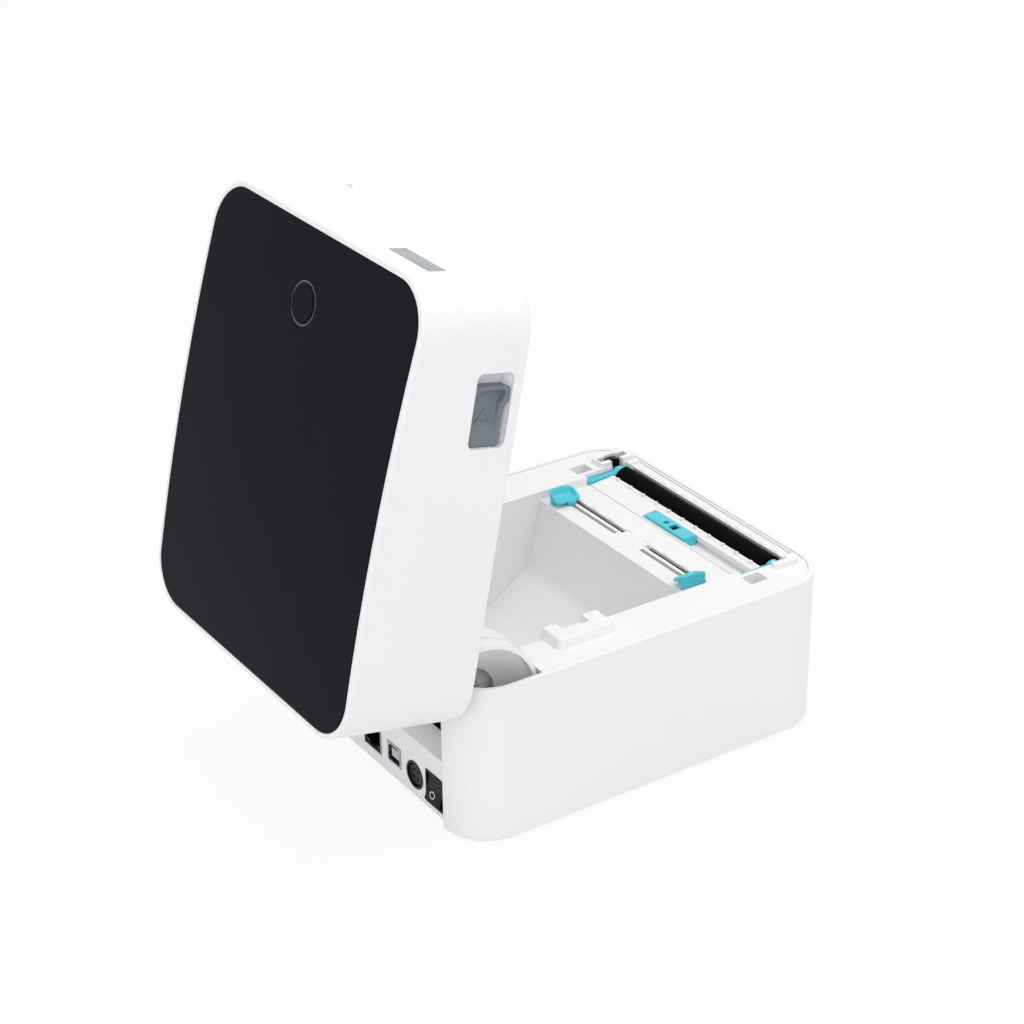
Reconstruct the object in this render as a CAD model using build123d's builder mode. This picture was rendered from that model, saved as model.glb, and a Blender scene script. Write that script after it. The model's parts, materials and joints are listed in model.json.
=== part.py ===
from build123d import *
from math import cos, pi, radians, sin, sqrt
import os

os.makedirs("parts", exist_ok=True)

# A desktop label printer with its hinged cover swung open. Millimetres, +Z up.
# The front, where the labels leave, faces -Y. The hinge and the sockets are at +Y.
# The cover is drawn shut, and every piece that rides on it is swung about the hinge when it is written.
# An inset in depth is measured from the front or rear face, and one in width from a side face.

# Casing
base_width = 180.0
base_depth = 210.0
deck_height = 77.0
rim_rise = 5.0
cover_front_height = 134.0
cover_rise = 12.0
corner_radius = 24.0
dome_radius = 1400.0
shell_wall = 2.6
shell_foot = 1.0
foot_chamfer = 1.0
rim_chamfer = 0.35
cover_round = 1.2
seat_width = 1.3
boss_height = 27.0
screw_hole_depth = 20.0
pillar_width = 24.0
pillar_return = 10.4
seam_gap = 0.4
fit_gap = 0.3
close_gap = 0.12
running_gap = 0.05
over = 1.0

# Hinge
open_angle = 79.0
hinge_inset = 10.2
hinge_drop = 10.2
hinge_sweep = 10.6
cover_corner = 14.0
ear_radius = 32.0
ear_step = 0.8
ear_hole_gap = 0.8
ear_inset = 24.0
ear_step_inset = 13.0
ear_outer_inset = 5.8
ear_floor = 2.4
ear_wall = 2.9
ear_start_angle = 119.0
ear_end_angle = 262.0
ear_relief_start = 60.0
ear_relief_end = 138.0
ear_sweep_start = 60.0
ear_sweep_end = 300.0
yard_depth = 30.0
hinge_pin_radius = 5.0
hinge_pin_step = 1.0
hinge_boss_radius = 7.0
hinge_cheek_radius = 9.0
hinge_cheek_width = 2.8
hinge_web_drop = 26.0
hinge_web_front = 16.0
hinge_web_rear = 5.0
hinge_flange = 1.4
cable_window_inner = 8.4
cable_window_outer = 16.5
cable_window_start = 152.0
cable_window_end = 250.0
lining = 0.9
lining_lip = 0.6
lining_angle = 5.0

# Inner frame
ledge_drop = 0.5
frame_plate = 2.5
bay_inset = 27.5
bay_wall = 2.0
deck_rear_inset = 68.0
bay_rear_inset = 14.0
bay_shift = 3.5
bay_floor_height = 16.0
bay_floor_half = 17.0
bay_bend_reach = 36.0
bay_bend_height = 24.8
bay_slope_height = 40.0
bay_front_slope = 8.5
bay_rear_slope = 4.5
bay_bend = 11.0
inlet_low = 52.0
inlet_high = 62.0
inlet_margin = 4.5
deck_step_inset = 36.8
deck_step = 0.5
strip_rise = 1.8
front_strip_rise = 3.6
front_strip_depth = 4.8
front_strip_lap = 0.8
front_rib_pitch = 9.0
front_rib_width = 3.0
deck_rib_pitch = 15.0
deck_rib_width = 3.0
rib_height = 0.3
rib_margin = 0.8
nib_pitch = 11.0
nib_count = 11
nib_width = 1.6
nib_depth = 1.5
nib_height = 1.0

# Platen roller and its bearings
roller_inset = 15.6
roller_drop = 1.0
roller_radius = 6.0
roller_end_gap = 2.0
shaft_radius = 3.0
shaft_end = 1.6
shaft_chamfer = 0.5
shaft_way_gap = 0.5
trough_gap = 0.9
trough_wall = 2.2
bearing_gap = 0.9
bearing_radius = 4.9
bearing_length = 4.2
lever_length = 21.5
lever_width = 3.8
lever_height = 1.9
lever_lift = 1.2
lever_round = 1.8
lever_end_gap = 0.8
platform_rise = 2.4
platform_gap = 0.8
platform_round = 2.0
left_platform_width = 5.6
left_platform_round = 2.7
left_platform_front = 9.2
left_platform_rear = 5.4
right_platform_margin = 3.9
right_platform_front = 12.0
right_platform_rear = 1.2

# Gear train
gear_module = 0.6
gear_width = 3.6
gear_clearance = 4.2
gear_well_drop = 12.9
gear_end_room = 1.2
platen_teeth = 26
idler_teeth = 36
pinion_teeth = 12
tooth_root_share = 0.62
tooth_tip_share = 0.20
tooth_depth = 1.2
tooth_height = 0.9
idler_direction = -68.0
pinion_direction = -50.0
idler_pin_radius = 1.5
idler_collar_radius = 3.0
idler_cap_radius = 2.5
idler_cap = 0.8
motor_size = 35.0
motor_corner = 3.9
motor_length = 24.0
motor_waist = 0.6
motor_shaft_radius = 1.5
motor_shaft_sunk = 8.0
motor_shaft_end = 0.6
motor_plate = 1.5
motor_plate_gap = 4.1
motor_plate_margin = 2.0
motor_plate_top = 6.0
motor_plate_round = 4.0
motor_foot = 14.0
motor_collar_radius = 5.5

# Label guides
guide_inset = 5.5
guide_front_inset = 51.6
guide_rear_inset = 66.6
guide_height = 8.6
guide_front_height = 6.4
guide_round = 1.6
guide_foot_reach = 19.0
guide_tongue_start = 9.5
guide_tongue_height = 1.2
guide_tongue_margin = 1.6
guide_lean = 0.6
guide_top_width = 2.2
guide_scoop_in = 4.6
guide_scoop_height = 3.4
guide_scoop_foot = 1.5
groove_inner = 9.0
groove_outer = 60.0
groove_front_inset = 51.4
groove_width = 2.8
groove_depth = 1.8
rail_width = 1.9
guide_slot_inner = 10.5
guide_slot_width = 2.2
stem_outer = 3.0
stem_inner = 9.4
carrier_outer = 3.0
carrier_inner = 12.0
carrier_thickness = 1.4
rack_pitch_radius = 6.0
rack_height = 3.0
rack_width = 3.0
rack_overrun = 9.0
guide_post_radius = 2.0
guide_post_tip = 1.2
guide_post_sunk = 1.6
guide_post_head = 3.2
guide_post_head_height = 1.2

# Label sensor
tray_start = -60.0
tray_end = 17.4
tray_front_inset = 27.2
tray_rear_inset = 35.8
tray_depth = 3.2
tray_floor = 1.6
tray_groove = 0.9
tray_groove_height = 1.4
tray_wall = 1.4
sensor_length = 34.0
sensor_end_gap = 0.5
sensor_top_gap = 0.1
sensor_slope_length = 3.0
sensor_slope_height = 2.0
sensor_window = 4.6
sensor_window_share = 0.62
sensor_hole_share = 0.42
sensor_hole_radius = 1.5
sensor_pocket = 3.6
sensor_gap = 0.1
sensor_sunk = 1.1

# Roll cradles
cradle_rise = 4.6
cradle_inset = 30.0
cradle_width = 14.6
cradle_length = 30.4
cradle_shift = -0.4
cradle_taper = 18.0
cradle_round = 1.4
cradle_chamfer = 0.5
cradle_notch_length = 14.6
cradle_notch_shift = 0.8
cradle_notch_depth = 7.2
cradle_notch_floor = 0.6

# Latches
latch_front_inset = 37.7
latch_rear_inset = 71.3
latch_rise = 5.0
latch_opening = 18.5
latch_length = 27.0
latch_depth = 6.4
latch_travel = 4.0
cup_wall = 1.4
cup_corner = 3.0
cup_ramp = 2.6
cup_ramp_lap = 0.6
thumb_drop = 1.0
thumb_base = 1.5
thumb_side_gap = 0.4
thumb_corner = 2.4
thumb_lip = 2.4
thumb_ridge = 2.0
thumb_rim = 1.2
thumb_tail = 0.7
thumb_sag = 0.8
head_lip_length = 6.5
head_lip_start = 3.6
head_lip_low = 1.3
latch_stem_inset = 54.0
latch_stem_length = 8.0
latch_stem_height = 5.4
latch_gap = 1.0
carrier_inset = 11.0
hook_inset = 17.7
hook_drop = 1.5
hook_front_inset = 35.1
hook_thickness = 3.0
hook_width = 4.0
hook_nose = 0.8
hook_nose_low = 1.4
hook_nose_high = 2.4
hook_nose_top = 3.2
hook_lead = 0.6
hook_pocket_front_inset = 29.8
hook_pocket_rear_inset = 40.0
hook_pocket_width = 8.0
hook_pocket_wall = 1.4
hook_pocket_floor = 1.0

# Feed button
button_inset = 35.0
button_radius = 8.9
ring_width = 0.8
button_travel = 0.8
panel_thickness = 2.0
ceiling_thickness = 2.2
panel_gap = 0.1
panel_proud = 0.15
panel_round = 0.5
button_depth = 1.0
button_proud = 0.9
button_chamfer = 0.4
button_stem_radius = 3.0
button_stem_length = 5.5
button_post_x = 14.0
button_post_radius = 2.0
button_post_length = 4.0
button_board_width = 16.0
button_board_round = 2.0

# Cover liner, printhead and tear bar
liner_rise = 6.0
liner_thickness = 2.4
vault_margin = 9.0
vault_top_gap = 2.2
notch_height = 3.6
notch_inset = 29.0
head_window_inset = 29.0
head_window_front_inset = 7.0
head_window_rear_inset = 43.0
head_pivot_inset = 39.0
head_pivot_rise = 3.0
head_pin_radius = 1.5
head_cheek_reach = 4.5
head_cheek_gap = 4.0
head_side = 2.0
head_front_inset = 8.0
head_rear_inset = 25.0
head_lift = 0.4
head_strip_margin = 0.6
head_strip_drop = 0.8
head_line_radius = 0.8
lever_slot_gap = 0.9
lever_slot_side = 0.5
tear_margin = 3.0
tear_pitch = 4.0
tear_tooth_height = 1.2
tear_thickness = 0.8
tear_lap = 0.6
tear_seat = 4.2
liner_screw_inset = 14.0
liner_screw_front_inset = 19.0
liner_screw_rear_inset = 53.0
liner_screw_length = 8.0

# Connector panel and its sockets
recess_depth = 3.5
panel_top = 33.4
panel_inset = 20.0
panel_shelf_depth = 14.0
panel_foot = 0.6
socket_proud = 0.3
ethernet_inset = 72.6
ethernet_width = 16.0
ethernet_height = 13.4
ethernet_depth = 18.0
ethernet_shell_wall = 0.6
ethernet_mouth_width = 12.2
ethernet_mouth_height = 8.2
ethernet_mouth_lift = 0.9
ethernet_catch_width = 6.2
ethernet_catch_height = 2.0
ethernet_back = 3.0
usb_inset = 52.6
usb_width = 12.0
usb_height = 10.9
usb_lift = 1.6
usb_depth = 16.0
usb_wall = 0.9
usb_corner = 1.8
usb_tongue_width = 6.6
usb_tongue_height = 4.6
usb_back = 4.0
usb_set_back = 0.9
power_inset = 34.2
power_height = 13.2
power_radius = 7.2
power_depth = 12.0
power_ring = 1.2
power_core_radius = 4.9
power_core_set_back = 0.9
power_back = 4.0
power_pin_circle = 2.6
power_pin_radius = 0.7
power_pin_count = 4
power_pin_depth = 6.0
power_key = 1.6
power_seat = 6.0
switch_inset = 16.4
switch_width = 15.0
switch_height = 17.8
switch_z = 13.7
switch_depth = 13.0
switch_flange = 0.5
switch_flange_lap = 0.7
switch_frame = 0.9
switch_pivot_radius = 1.2
switch_pivot_length = 0.8
switch_pivot_depth = 4.2
rocker_gap = 0.3
rocker_end_gap = 0.5
rocker_pressed = 3.4
rocker_middle = 4.2
rocker_raised = 6.0
rocker_shoulder = 2.4
rocker_tail = 3.0
rocker_tail_half = 2.6
rocker_lip = 1.1

# Underside
plate_low = 2.2
plate_thickness = 2.5
foot_radius = 7.5
foot_sole_radius = 6.9
foot_inset_x = 24.0
foot_inset_y = 25.0
foot_ring = 1.6
foot_ring_height = 0.6
vent_count = 9
vent_pitch = 11.0
vent_length = 40.0
vent_width = 2.6
board_height = 6.0
board_thickness = 1.6
board_inset = 32.0
board_length = 80.6
board_round = 2.0
board_notch_inset = 18.5
board_notch_gap = 10.1
standoff_radius = 3.0
standoff_inset = 4.0
standoff_spacing = 44.0
standoff_shift = -3.0
chip_height = 1.6
chip_sides = ((-32.0, -0.30, 14.0, 14.0), (0.0, -0.27, 9.0, 12.0), (32.0, -0.35, 10.0, 6.0))
can_radius = 4.0
can_height = 9.0
can_pitch = 12.0
can_count = 3
can_inset_x = 14.0
can_inset_y = 13.0
screw_radius = 1.6
screw_head_radius = 3.0
screw_head_height = 1.8
screw_head_rise = 0.6
screw_drive_radius = 1.3
screw_drive_sides = 6
screw_length = 16.0
boss_radius = 3.8

# Worked out from the values above
half_width = base_width / 2
half_depth = base_depth / 2
rim_height = deck_height + rim_rise
cover_rear_height = cover_front_height + cover_rise
hinge_y = half_depth - hinge_inset
hinge_z = rim_height - hinge_drop
hinge_axis = Axis((0, hinge_y, hinge_z), (1, 0, 0))
ear_inner_x = half_width - ear_inset
ear_step_x = half_width - ear_step_inset
ear_outer_x = half_width - ear_outer_inset
ledge_height = rim_height - ledge_drop
deck_low = deck_height - frame_plate
strip_high = deck_height + strip_rise
front_strip_high = deck_height + front_strip_rise
bay_half_width = half_width - bay_inset
deck_rear_y = deck_rear_inset - half_depth
deck_step_y = deck_step_inset - half_depth
bay_rear_y = half_depth - bay_rear_inset
bay_centre_y = (deck_rear_y + bay_rear_y) / 2 + bay_shift
roller_y = roller_inset - half_depth
roller_height = deck_height - roller_drop
roller_half_length = bay_half_width - roller_end_gap
bearing_start_x = roller_half_length + bearing_gap
bearing_end_x = bearing_start_x + bearing_length
gear_start_x = bearing_end_x + gear_clearance
gear_end_x = gear_start_x + gear_width
motor_plate_x = gear_start_x - motor_plate_gap - motor_plate
pillar_half_gap = half_width - pillar_width
panel_half_width = half_width - panel_inset
panel_face_y = half_depth - recess_depth
socket_face = panel_face_y + socket_proud
plate_top = plate_low + plate_thickness
board_top = board_height + board_thickness
board_half_x = half_width - board_inset
board_rear_y = panel_face_y - shell_wall - fit_gap
board_front_y = board_rear_y - board_length
board_notch_y = half_depth - board_notch_inset
cover_low = rim_height + seam_gap
dome_y = dome_radius * cover_rise / base_depth
dome_z = cover_front_height - sqrt(dome_radius**2 - (half_depth + dome_y) ** 2)
liner_low = rim_height + liner_rise
liner_top = liner_low + liner_thickness
frame_inset = shell_wall + close_gap
cut_top = cover_rear_height + over

pieces = []


def keep(piece, name, swung=False):
    """Labels a finished piece, and notes whether it is swung open with the cover."""
    piece.label = name
    pieces.append((piece, name, swung))


def both_sides(piece, name, swung=False):
    """Keeps a piece of the printer's right side, and its mirror image on the left."""
    keep(piece, f"{name}_right", swung)
    keep(mirror(piece, about=Plane.YZ), f"{name}_left", swung)


def sided(solid, side):
    """A solid of the right side as it is, or its mirror image for the left."""
    return solid if side > 0 else mirror(solid, about=Plane.YZ)


def outline(inset):
    """The printer's rounded plan outline, drawn in a sketch, a given distance inside the casing's face."""
    return RectangleRounded(base_width - 2 * inset, base_depth - 2 * inset, corner_radius - inset)


def slab(low, high, inset=0.0):
    """A solid of the plan outline between two heights."""
    with BuildPart() as solid:
        with BuildSketch(Plane.XY.offset(low)):
            outline(inset)
        extrude(amount=high - low)
    return solid.part


def under_dome(low, inset, lowered):
    """A solid of the plan outline from a height up to the cover's arched top, or a given depth under it."""
    with BuildPart() as solid:
        with BuildSketch(Plane.XY.offset(low)):
            outline(inset)
        extrude(amount=cut_top - low)
        with BuildSketch(Plane.YZ.offset(-base_width)):
            with Locations((dome_y, dome_z)):
                Circle(dome_radius - lowered)
        extrude(amount=2 * base_width, mode=Mode.INTERSECT)
    return solid.part


def block(x, y, z):
    """A box between two X, two Y and two Z values."""
    with BuildPart() as solid:
        with BuildSketch(Plane.XY.offset(min(z))):
            with Locations(((x[0] + x[1]) / 2, (y[0] + y[1]) / 2)):
                Rectangle(abs(x[1] - x[0]), abs(y[1] - y[0]))
        extrude(amount=abs(z[1] - z[0]))
    return solid.part


def rounded_block(x, y, z, radius):
    """A box with rounded upright edges, between two X, two Y and two Z values."""
    with BuildPart() as solid:
        with BuildSketch(Plane.XY.offset(min(z))):
            with Locations(((x[0] + x[1]) / 2, (y[0] + y[1]) / 2)):
                RectangleRounded(abs(x[1] - x[0]), abs(y[1] - y[0]), radius)
        extrude(amount=abs(z[1] - z[0]))
    return solid.part


def rod(start_x, end_x, y, z, radius):
    """A round bar along X."""
    with BuildPart() as solid:
        with BuildSketch(Plane.YZ.offset(start_x)):
            with Locations((y, z)):
                Circle(radius)
        extrude(amount=end_x - start_x)
    return solid.part


def sector(inner, outer, start, end, low_x, high_x):
    """A ring sector about the hinge axis, between two angles measured from +Y towards +Z."""
    with BuildPart() as solid:
        with BuildSketch(Plane.YZ.offset(low_x)):
            with BuildLine():
                first = CenterArc((hinge_y, hinge_z), outer, start, end - start)
                second = CenterArc((hinge_y, hinge_z), inner, start, end - start)
                Line(first @ 0, second @ 0)
                Line(first @ 1, second @ 1)
            make_face()
        extrude(amount=high_x - low_x)
    return solid.part


# Base shell: the rounded outer wall, open above and below, with the rear bay between its two pillars
boss_shift = (corner_radius - shell_wall - screw_head_radius - seam_gap) / sqrt(2)
boss_x = half_width - corner_radius + boss_shift
boss_y = half_depth - corner_radius + boss_shift
seat_low = ledge_height - 2 * frame_plate
with BuildPart() as base_shell:
    with BuildSketch(Plane.XY.offset(shell_foot)):
        outline(0)
    extrude(amount=rim_height - shell_foot)
    chamfer(base_shell.edges().group_by(Axis.Z)[0], foot_chamfer)
    chamfer(base_shell.edges().group_by(Axis.Z)[-1], rim_chamfer)
    add(slab(shell_foot, rim_height, shell_wall), mode=Mode.SUBTRACT)
    add(slab(seat_low, seat_low + frame_plate, shell_wall - fit_gap))
    add(slab(seat_low, seat_low + frame_plate, shell_wall + seat_width), mode=Mode.SUBTRACT)
    with BuildSketch(Plane.XY.offset(plate_top)):
        with GridLocations(2 * boss_x, 2 * boss_y, 2, 2):
            Circle(boss_radius)
    extrude(amount=boss_height)
    with BuildSketch(Plane.XY.offset(plate_top)):
        with GridLocations(2 * boss_x, 2 * boss_y, 2, 2):
            Circle(screw_radius)
    extrude(amount=screw_hole_depth, mode=Mode.SUBTRACT)
    add(
        block(
            (-pillar_half_gap, pillar_half_gap),
            (half_depth - pillar_return, half_depth + over),
            (0, rim_height + over),
        ),
        mode=Mode.SUBTRACT,
    )
    with BuildSketch(Plane.YZ.offset(-half_width)):
        with Locations((hinge_y + hinge_inset, hinge_z + hinge_drop)):
            Rectangle(2 * hinge_inset, 2 * hinge_drop)
        with Locations((hinge_y, hinge_z)):
            Circle(hinge_sweep, mode=Mode.SUBTRACT)
    extrude(amount=base_width, mode=Mode.SUBTRACT)
keep(base_shell.part, "base_shell")

# Inner frame: ledges, label deck, roller trough and the tub that holds the label roll, in one moulding
bay_points = [
    (deck_rear_y, ledge_height + over),
    (deck_rear_y, deck_low),
    (deck_rear_y + bay_front_slope, bay_slope_height),
    (bay_centre_y - bay_bend_reach, bay_bend_height),
    (bay_centre_y - bay_floor_half, bay_floor_height),
    (bay_centre_y + bay_floor_half, bay_floor_height),
    (bay_centre_y + bay_bend_reach, bay_bend_height),
    (bay_rear_y - bay_rear_slope, bay_slope_height),
    (bay_rear_y, ledge_height + over),
]
with BuildPart() as bay_space:
    with BuildSketch(Plane.YZ.offset(-bay_half_width)) as bay_section:
        with BuildLine():
            Polyline(*bay_points, close=True)
        make_face()
        fillet(bay_section.vertices().filter_by(lambda corner: corner.Y < bay_slope_height + over), bay_bend)
    extrude(amount=2 * bay_half_width)
with BuildPart() as bay_tub:
    with BuildSketch(Plane.YZ.offset(-bay_half_width - bay_wall)) as tub_section:
        with BuildLine():
            Polyline(*bay_points, close=True)
        make_face()
        fillet(tub_section.vertices().filter_by(lambda corner: corner.Y < bay_slope_height + over), bay_bend)
        offset(amount=bay_wall, kind=Kind.INTERSECTION)
    extrude(amount=2 * (bay_half_width + bay_wall))
    add(
        block((-base_width, base_width), (-base_depth, base_depth), (ledge_height, cut_top)),
        mode=Mode.SUBTRACT,
    )

trough_radius = roller_radius + trough_gap
strip_front_y = roller_y + trough_radius
trough_front_y = roller_y - trough_radius
pocket_top = ledge_height + 2 * frame_plate
platform_top = ledge_height + platform_rise
platform_inner = bearing_end_x + platform_gap
gear_well = gear_module * (platen_teeth / 2 + 1) + fit_gap
hook_x = half_width - hook_inset
hook_low = deck_height - hook_drop
hook_pocket_front = hook_pocket_front_inset - half_depth
hook_pocket_rear = hook_pocket_rear_inset - half_depth
groove_front = groove_front_inset - half_depth
groove_rear = groove_front + groove_width
guide_slot_front = groove_rear + rail_width
guide_slot_rear = guide_slot_front + guide_slot_width
rack_y = (groove_front + guide_slot_rear) / 2
tray_front = tray_front_inset - half_depth
tray_rear = tray_rear_inset - half_depth
tray_bottom = deck_height - tray_depth
inlet_half_width = bay_half_width - inlet_margin
with BuildPart() as gear_platform:
    add(
        rounded_block(
            (platform_inner, gear_end_x + right_platform_margin),
            (roller_y - right_platform_front, roller_y + gear_well + right_platform_rear),
            (ledge_height - frame_plate, platform_top),
            platform_round,
        )
    )
    add(slab(ledge_height - frame_plate, platform_top, frame_inset + seam_gap), mode=Mode.INTERSECT)
with BuildPart() as inner_frame:
    add(slab(ledge_height - frame_plate, ledge_height, frame_inset))
    add(bay_tub.part)
    add(
        block(
            (-bay_half_width, bay_half_width),
            (trough_front_y - front_strip_depth, bay_rear_y - bay_wall),
            (deck_low, pocket_top),
        ),
        mode=Mode.SUBTRACT,
    )
    for side in (-1, 1):
        add(
            block(
                (side * bay_half_width, side * (bay_half_width + bay_wall)),
                (trough_front_y, deck_rear_y),
                (deck_low, ledge_height),
            )
        )
    with BuildSketch(Plane.YZ.offset(-bay_half_width - bay_wall / 2)):
        with BuildLine():
            Polyline(
                (deck_rear_y, deck_low),
                (deck_rear_y, deck_height),
                (deck_step_y, deck_height),
                (deck_step_y, deck_height + deck_step),
                (strip_front_y, strip_high),
                (strip_front_y, strip_high - frame_plate),
                (deck_step_y, deck_low),
                close=True,
            )
        make_face()
        with Locations((roller_y, roller_height)):
            Circle(trough_radius + trough_wall)
        with Locations((roller_y, strip_high + trough_radius)):
            Rectangle(2 * (trough_radius + trough_wall), 2 * trough_radius, mode=Mode.SUBTRACT)
    extrude(amount=2 * bay_half_width + bay_wall)
    add(
        block(
            (-bay_half_width, bay_half_width),
            (trough_front_y - front_strip_depth, trough_front_y + front_strip_lap),
            (strip_high - frame_plate, front_strip_high),
        )
    )
    add(
        block(
            (tray_start - tray_wall, tray_end + tray_wall),
            (tray_front - tray_groove - tray_wall, tray_rear + tray_groove + tray_wall),
            (tray_bottom - tray_floor, deck_low + over / 2),
        )
    )
    add(
        rounded_block(
            (-platform_inner, -platform_inner - left_platform_width),
            (roller_y - left_platform_front, roller_y + left_platform_rear),
            (ledge_height - frame_plate, platform_top),
            left_platform_round,
        )
    )
    add(gear_platform.part)
    for side in (-1, 1):
        pocket_half = hook_pocket_width / 2
        pocket_body = block(
            (hook_x - pocket_half - hook_pocket_wall, hook_x + pocket_half + hook_pocket_wall),
            (hook_pocket_front - hook_pocket_wall, hook_pocket_rear + hook_pocket_wall),
            (hook_low - hook_pocket_floor - hook_pocket_wall, ledge_height),
        )
        pocket = block(
            (hook_x - pocket_half, hook_x + pocket_half),
            (hook_pocket_front, hook_pocket_rear),
            (hook_low - hook_pocket_floor, pocket_top),
        )
        cheek = rod(bay_half_width, bay_half_width + hinge_cheek_width, hinge_y, hinge_z, hinge_cheek_radius)
        web = block(
            (bay_half_width, bay_half_width + hinge_cheek_width),
            (hinge_y - hinge_web_front, hinge_y + hinge_web_rear),
            (hinge_z - hinge_web_drop, hinge_z),
        )
        pin_hole = rod(
            bay_half_width - over, ear_inner_x, hinge_y, hinge_z, hinge_pin_radius - hinge_pin_step
        )
        seat = rod(
            bearing_start_x - fit_gap,
            bearing_end_x + fit_gap,
            roller_y,
            roller_height,
            bearing_radius + fit_gap,
        )
        above_seat = block(
            (bearing_start_x - fit_gap, bearing_end_x + fit_gap),
            (roller_y - bearing_radius - fit_gap, roller_y + bearing_radius + fit_gap),
            (roller_height, pocket_top),
        )
        lever_bed = block(
            (bearing_start_x - fit_gap, bearing_end_x + fit_gap),
            (roller_y, roller_y + lever_length + lever_end_gap),
            (roller_height + lever_lift - fit_gap, pocket_top),
        )
        shaft_stop = gear_end_x if side > 0 else bearing_end_x + shaft_end
        shaft_way = block(
            (bearing_start_x - over, shaft_stop + gear_end_room),
            (roller_y - shaft_radius - shaft_way_gap, roller_y + shaft_radius + shaft_way_gap),
            (roller_height - shaft_radius - shaft_way_gap, pocket_top),
        )
        hinge_space = sector(
            over,
            ear_radius + ear_hole_gap,
            ear_sweep_start,
            ear_sweep_end,
            ear_inner_x - 2 * fit_gap,
            half_width,
        )
        hinge_yard = block(
            (ear_inner_x - 2 * fit_gap, half_width),
            (half_depth - yard_depth, half_depth),
            (hinge_z - ear_radius, pocket_top),
        )
        for solid in (pocket_body, cheek, web):
            add(sided(solid, side))
        for solid in (pocket, pin_hole, seat, above_seat, lever_bed, shaft_way, hinge_space, hinge_yard):
            add(sided(solid, side), mode=Mode.SUBTRACT)
    add(
        block(
            (gear_start_x - fit_gap, gear_end_x + fit_gap),
            (roller_y - gear_well, roller_y + gear_well),
            (roller_height - gear_well_drop, pocket_top),
        ),
        mode=Mode.SUBTRACT,
    )
    add(
        rod(
            -roller_half_length - fit_gap,
            roller_half_length + fit_gap,
            roller_y,
            roller_height,
            trough_radius,
        ),
        mode=Mode.SUBTRACT,
    )
    add(bay_space.part, mode=Mode.SUBTRACT)
    add(block((tray_start, tray_end), (tray_front, tray_rear), (tray_bottom, pocket_top)), mode=Mode.SUBTRACT)
    add(
        block(
            (tray_start, tray_end),
            (tray_front - tray_groove, tray_rear + tray_groove),
            (tray_bottom, tray_bottom + tray_groove_height),
        ),
        mode=Mode.SUBTRACT,
    )
    for side in (-1, 1):
        add(
            block(
                (side * groove_inner, side * groove_outer),
                (groove_front, groove_rear),
                (deck_height - groove_depth, pocket_top),
            ),
            mode=Mode.SUBTRACT,
        )
        add(
            block(
                (side * guide_slot_inner, side * groove_outer),
                (guide_slot_front, guide_slot_rear),
                (deck_low - over, pocket_top),
            ),
            mode=Mode.SUBTRACT,
        )
    with BuildSketch(Plane.XY.offset(deck_low)):
        with Locations((0, rack_y)):
            Circle(guide_post_tip)
    extrude(amount=guide_post_sunk, mode=Mode.SUBTRACT)
    add(
        block(
            (-inlet_half_width, inlet_half_width),
            (bay_rear_y - pillar_return, half_depth),
            (inlet_low, inlet_high),
        ),
        mode=Mode.SUBTRACT,
    )
    with BuildSketch(Plane.XY.offset(front_strip_high)):
        with Locations((0, trough_front_y - front_strip_depth / 2)):
            with GridLocations(front_rib_pitch, 0, int(2 * roller_half_length / front_rib_pitch), 1):
                Rectangle(front_rib_width, front_strip_depth - rib_margin)
    extrude(amount=rib_height)
    nib_front = strip_front_y + nib_depth / 2 + close_gap
    with BuildSketch(Plane.XY.offset(strip_high - nib_height)):
        with Locations((0, nib_front)):
            with GridLocations(nib_pitch, 0, nib_count, 1):
                Rectangle(nib_width, nib_depth)
    extrude(amount=2 * nib_height)
    deck_rib_length = groove_front - deck_step_y - 2 * rib_margin
    with BuildSketch(Plane.XY.offset(deck_height)):
        with Locations((0, (deck_step_y + groove_front) / 2)):
            with GridLocations(deck_rib_pitch, 0, int(2 * bay_half_width / deck_rib_pitch), 1):
                Rectangle(deck_rib_width, deck_rib_length)
    extrude(amount=rib_height)
keep(inner_frame.part, "inner_frame")

# Roll cradles: a C-shaped block on each ledge, notched towards the bay for the spindle's end
cradle_inner = half_width - cradle_inset
cradle_outer = cradle_inner + cradle_width
cradle_top = ledge_height + cradle_rise
cradle_centre_y = bay_centre_y + cradle_shift
notch_centre_y = cradle_centre_y + cradle_notch_shift
cradle_flare = cradle_rise * sin(radians(cradle_taper))
with BuildPart() as roll_cradle:
    with BuildSketch(Plane.XY.offset(ledge_height)):
        with Locations(((cradle_inner + cradle_outer) / 2, cradle_centre_y)):
            RectangleRounded(
                cradle_width + 2 * cradle_flare,
                cradle_length + 2 * cradle_flare,
                cradle_round + cradle_flare,
            )
    extrude(amount=cradle_rise, taper=cradle_taper)
    chamfer(roll_cradle.edges().group_by(Axis.Z)[-1], cradle_chamfer)
    add(
        block(
            (0, cradle_inner),
            (cradle_centre_y - cradle_length, cradle_centre_y + cradle_length),
            (ledge_height - over, cradle_top + over),
        ),
        mode=Mode.SUBTRACT,
    )
    add(
        block(
            (cradle_inner - over, cradle_inner + cradle_notch_depth),
            (notch_centre_y - cradle_notch_length / 2, notch_centre_y + cradle_notch_length / 2),
            (ledge_height + cradle_notch_floor, cradle_top + over),
        ),
        mode=Mode.SUBTRACT,
    )
both_sides(roll_cradle.part, "roll_cradle")

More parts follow.
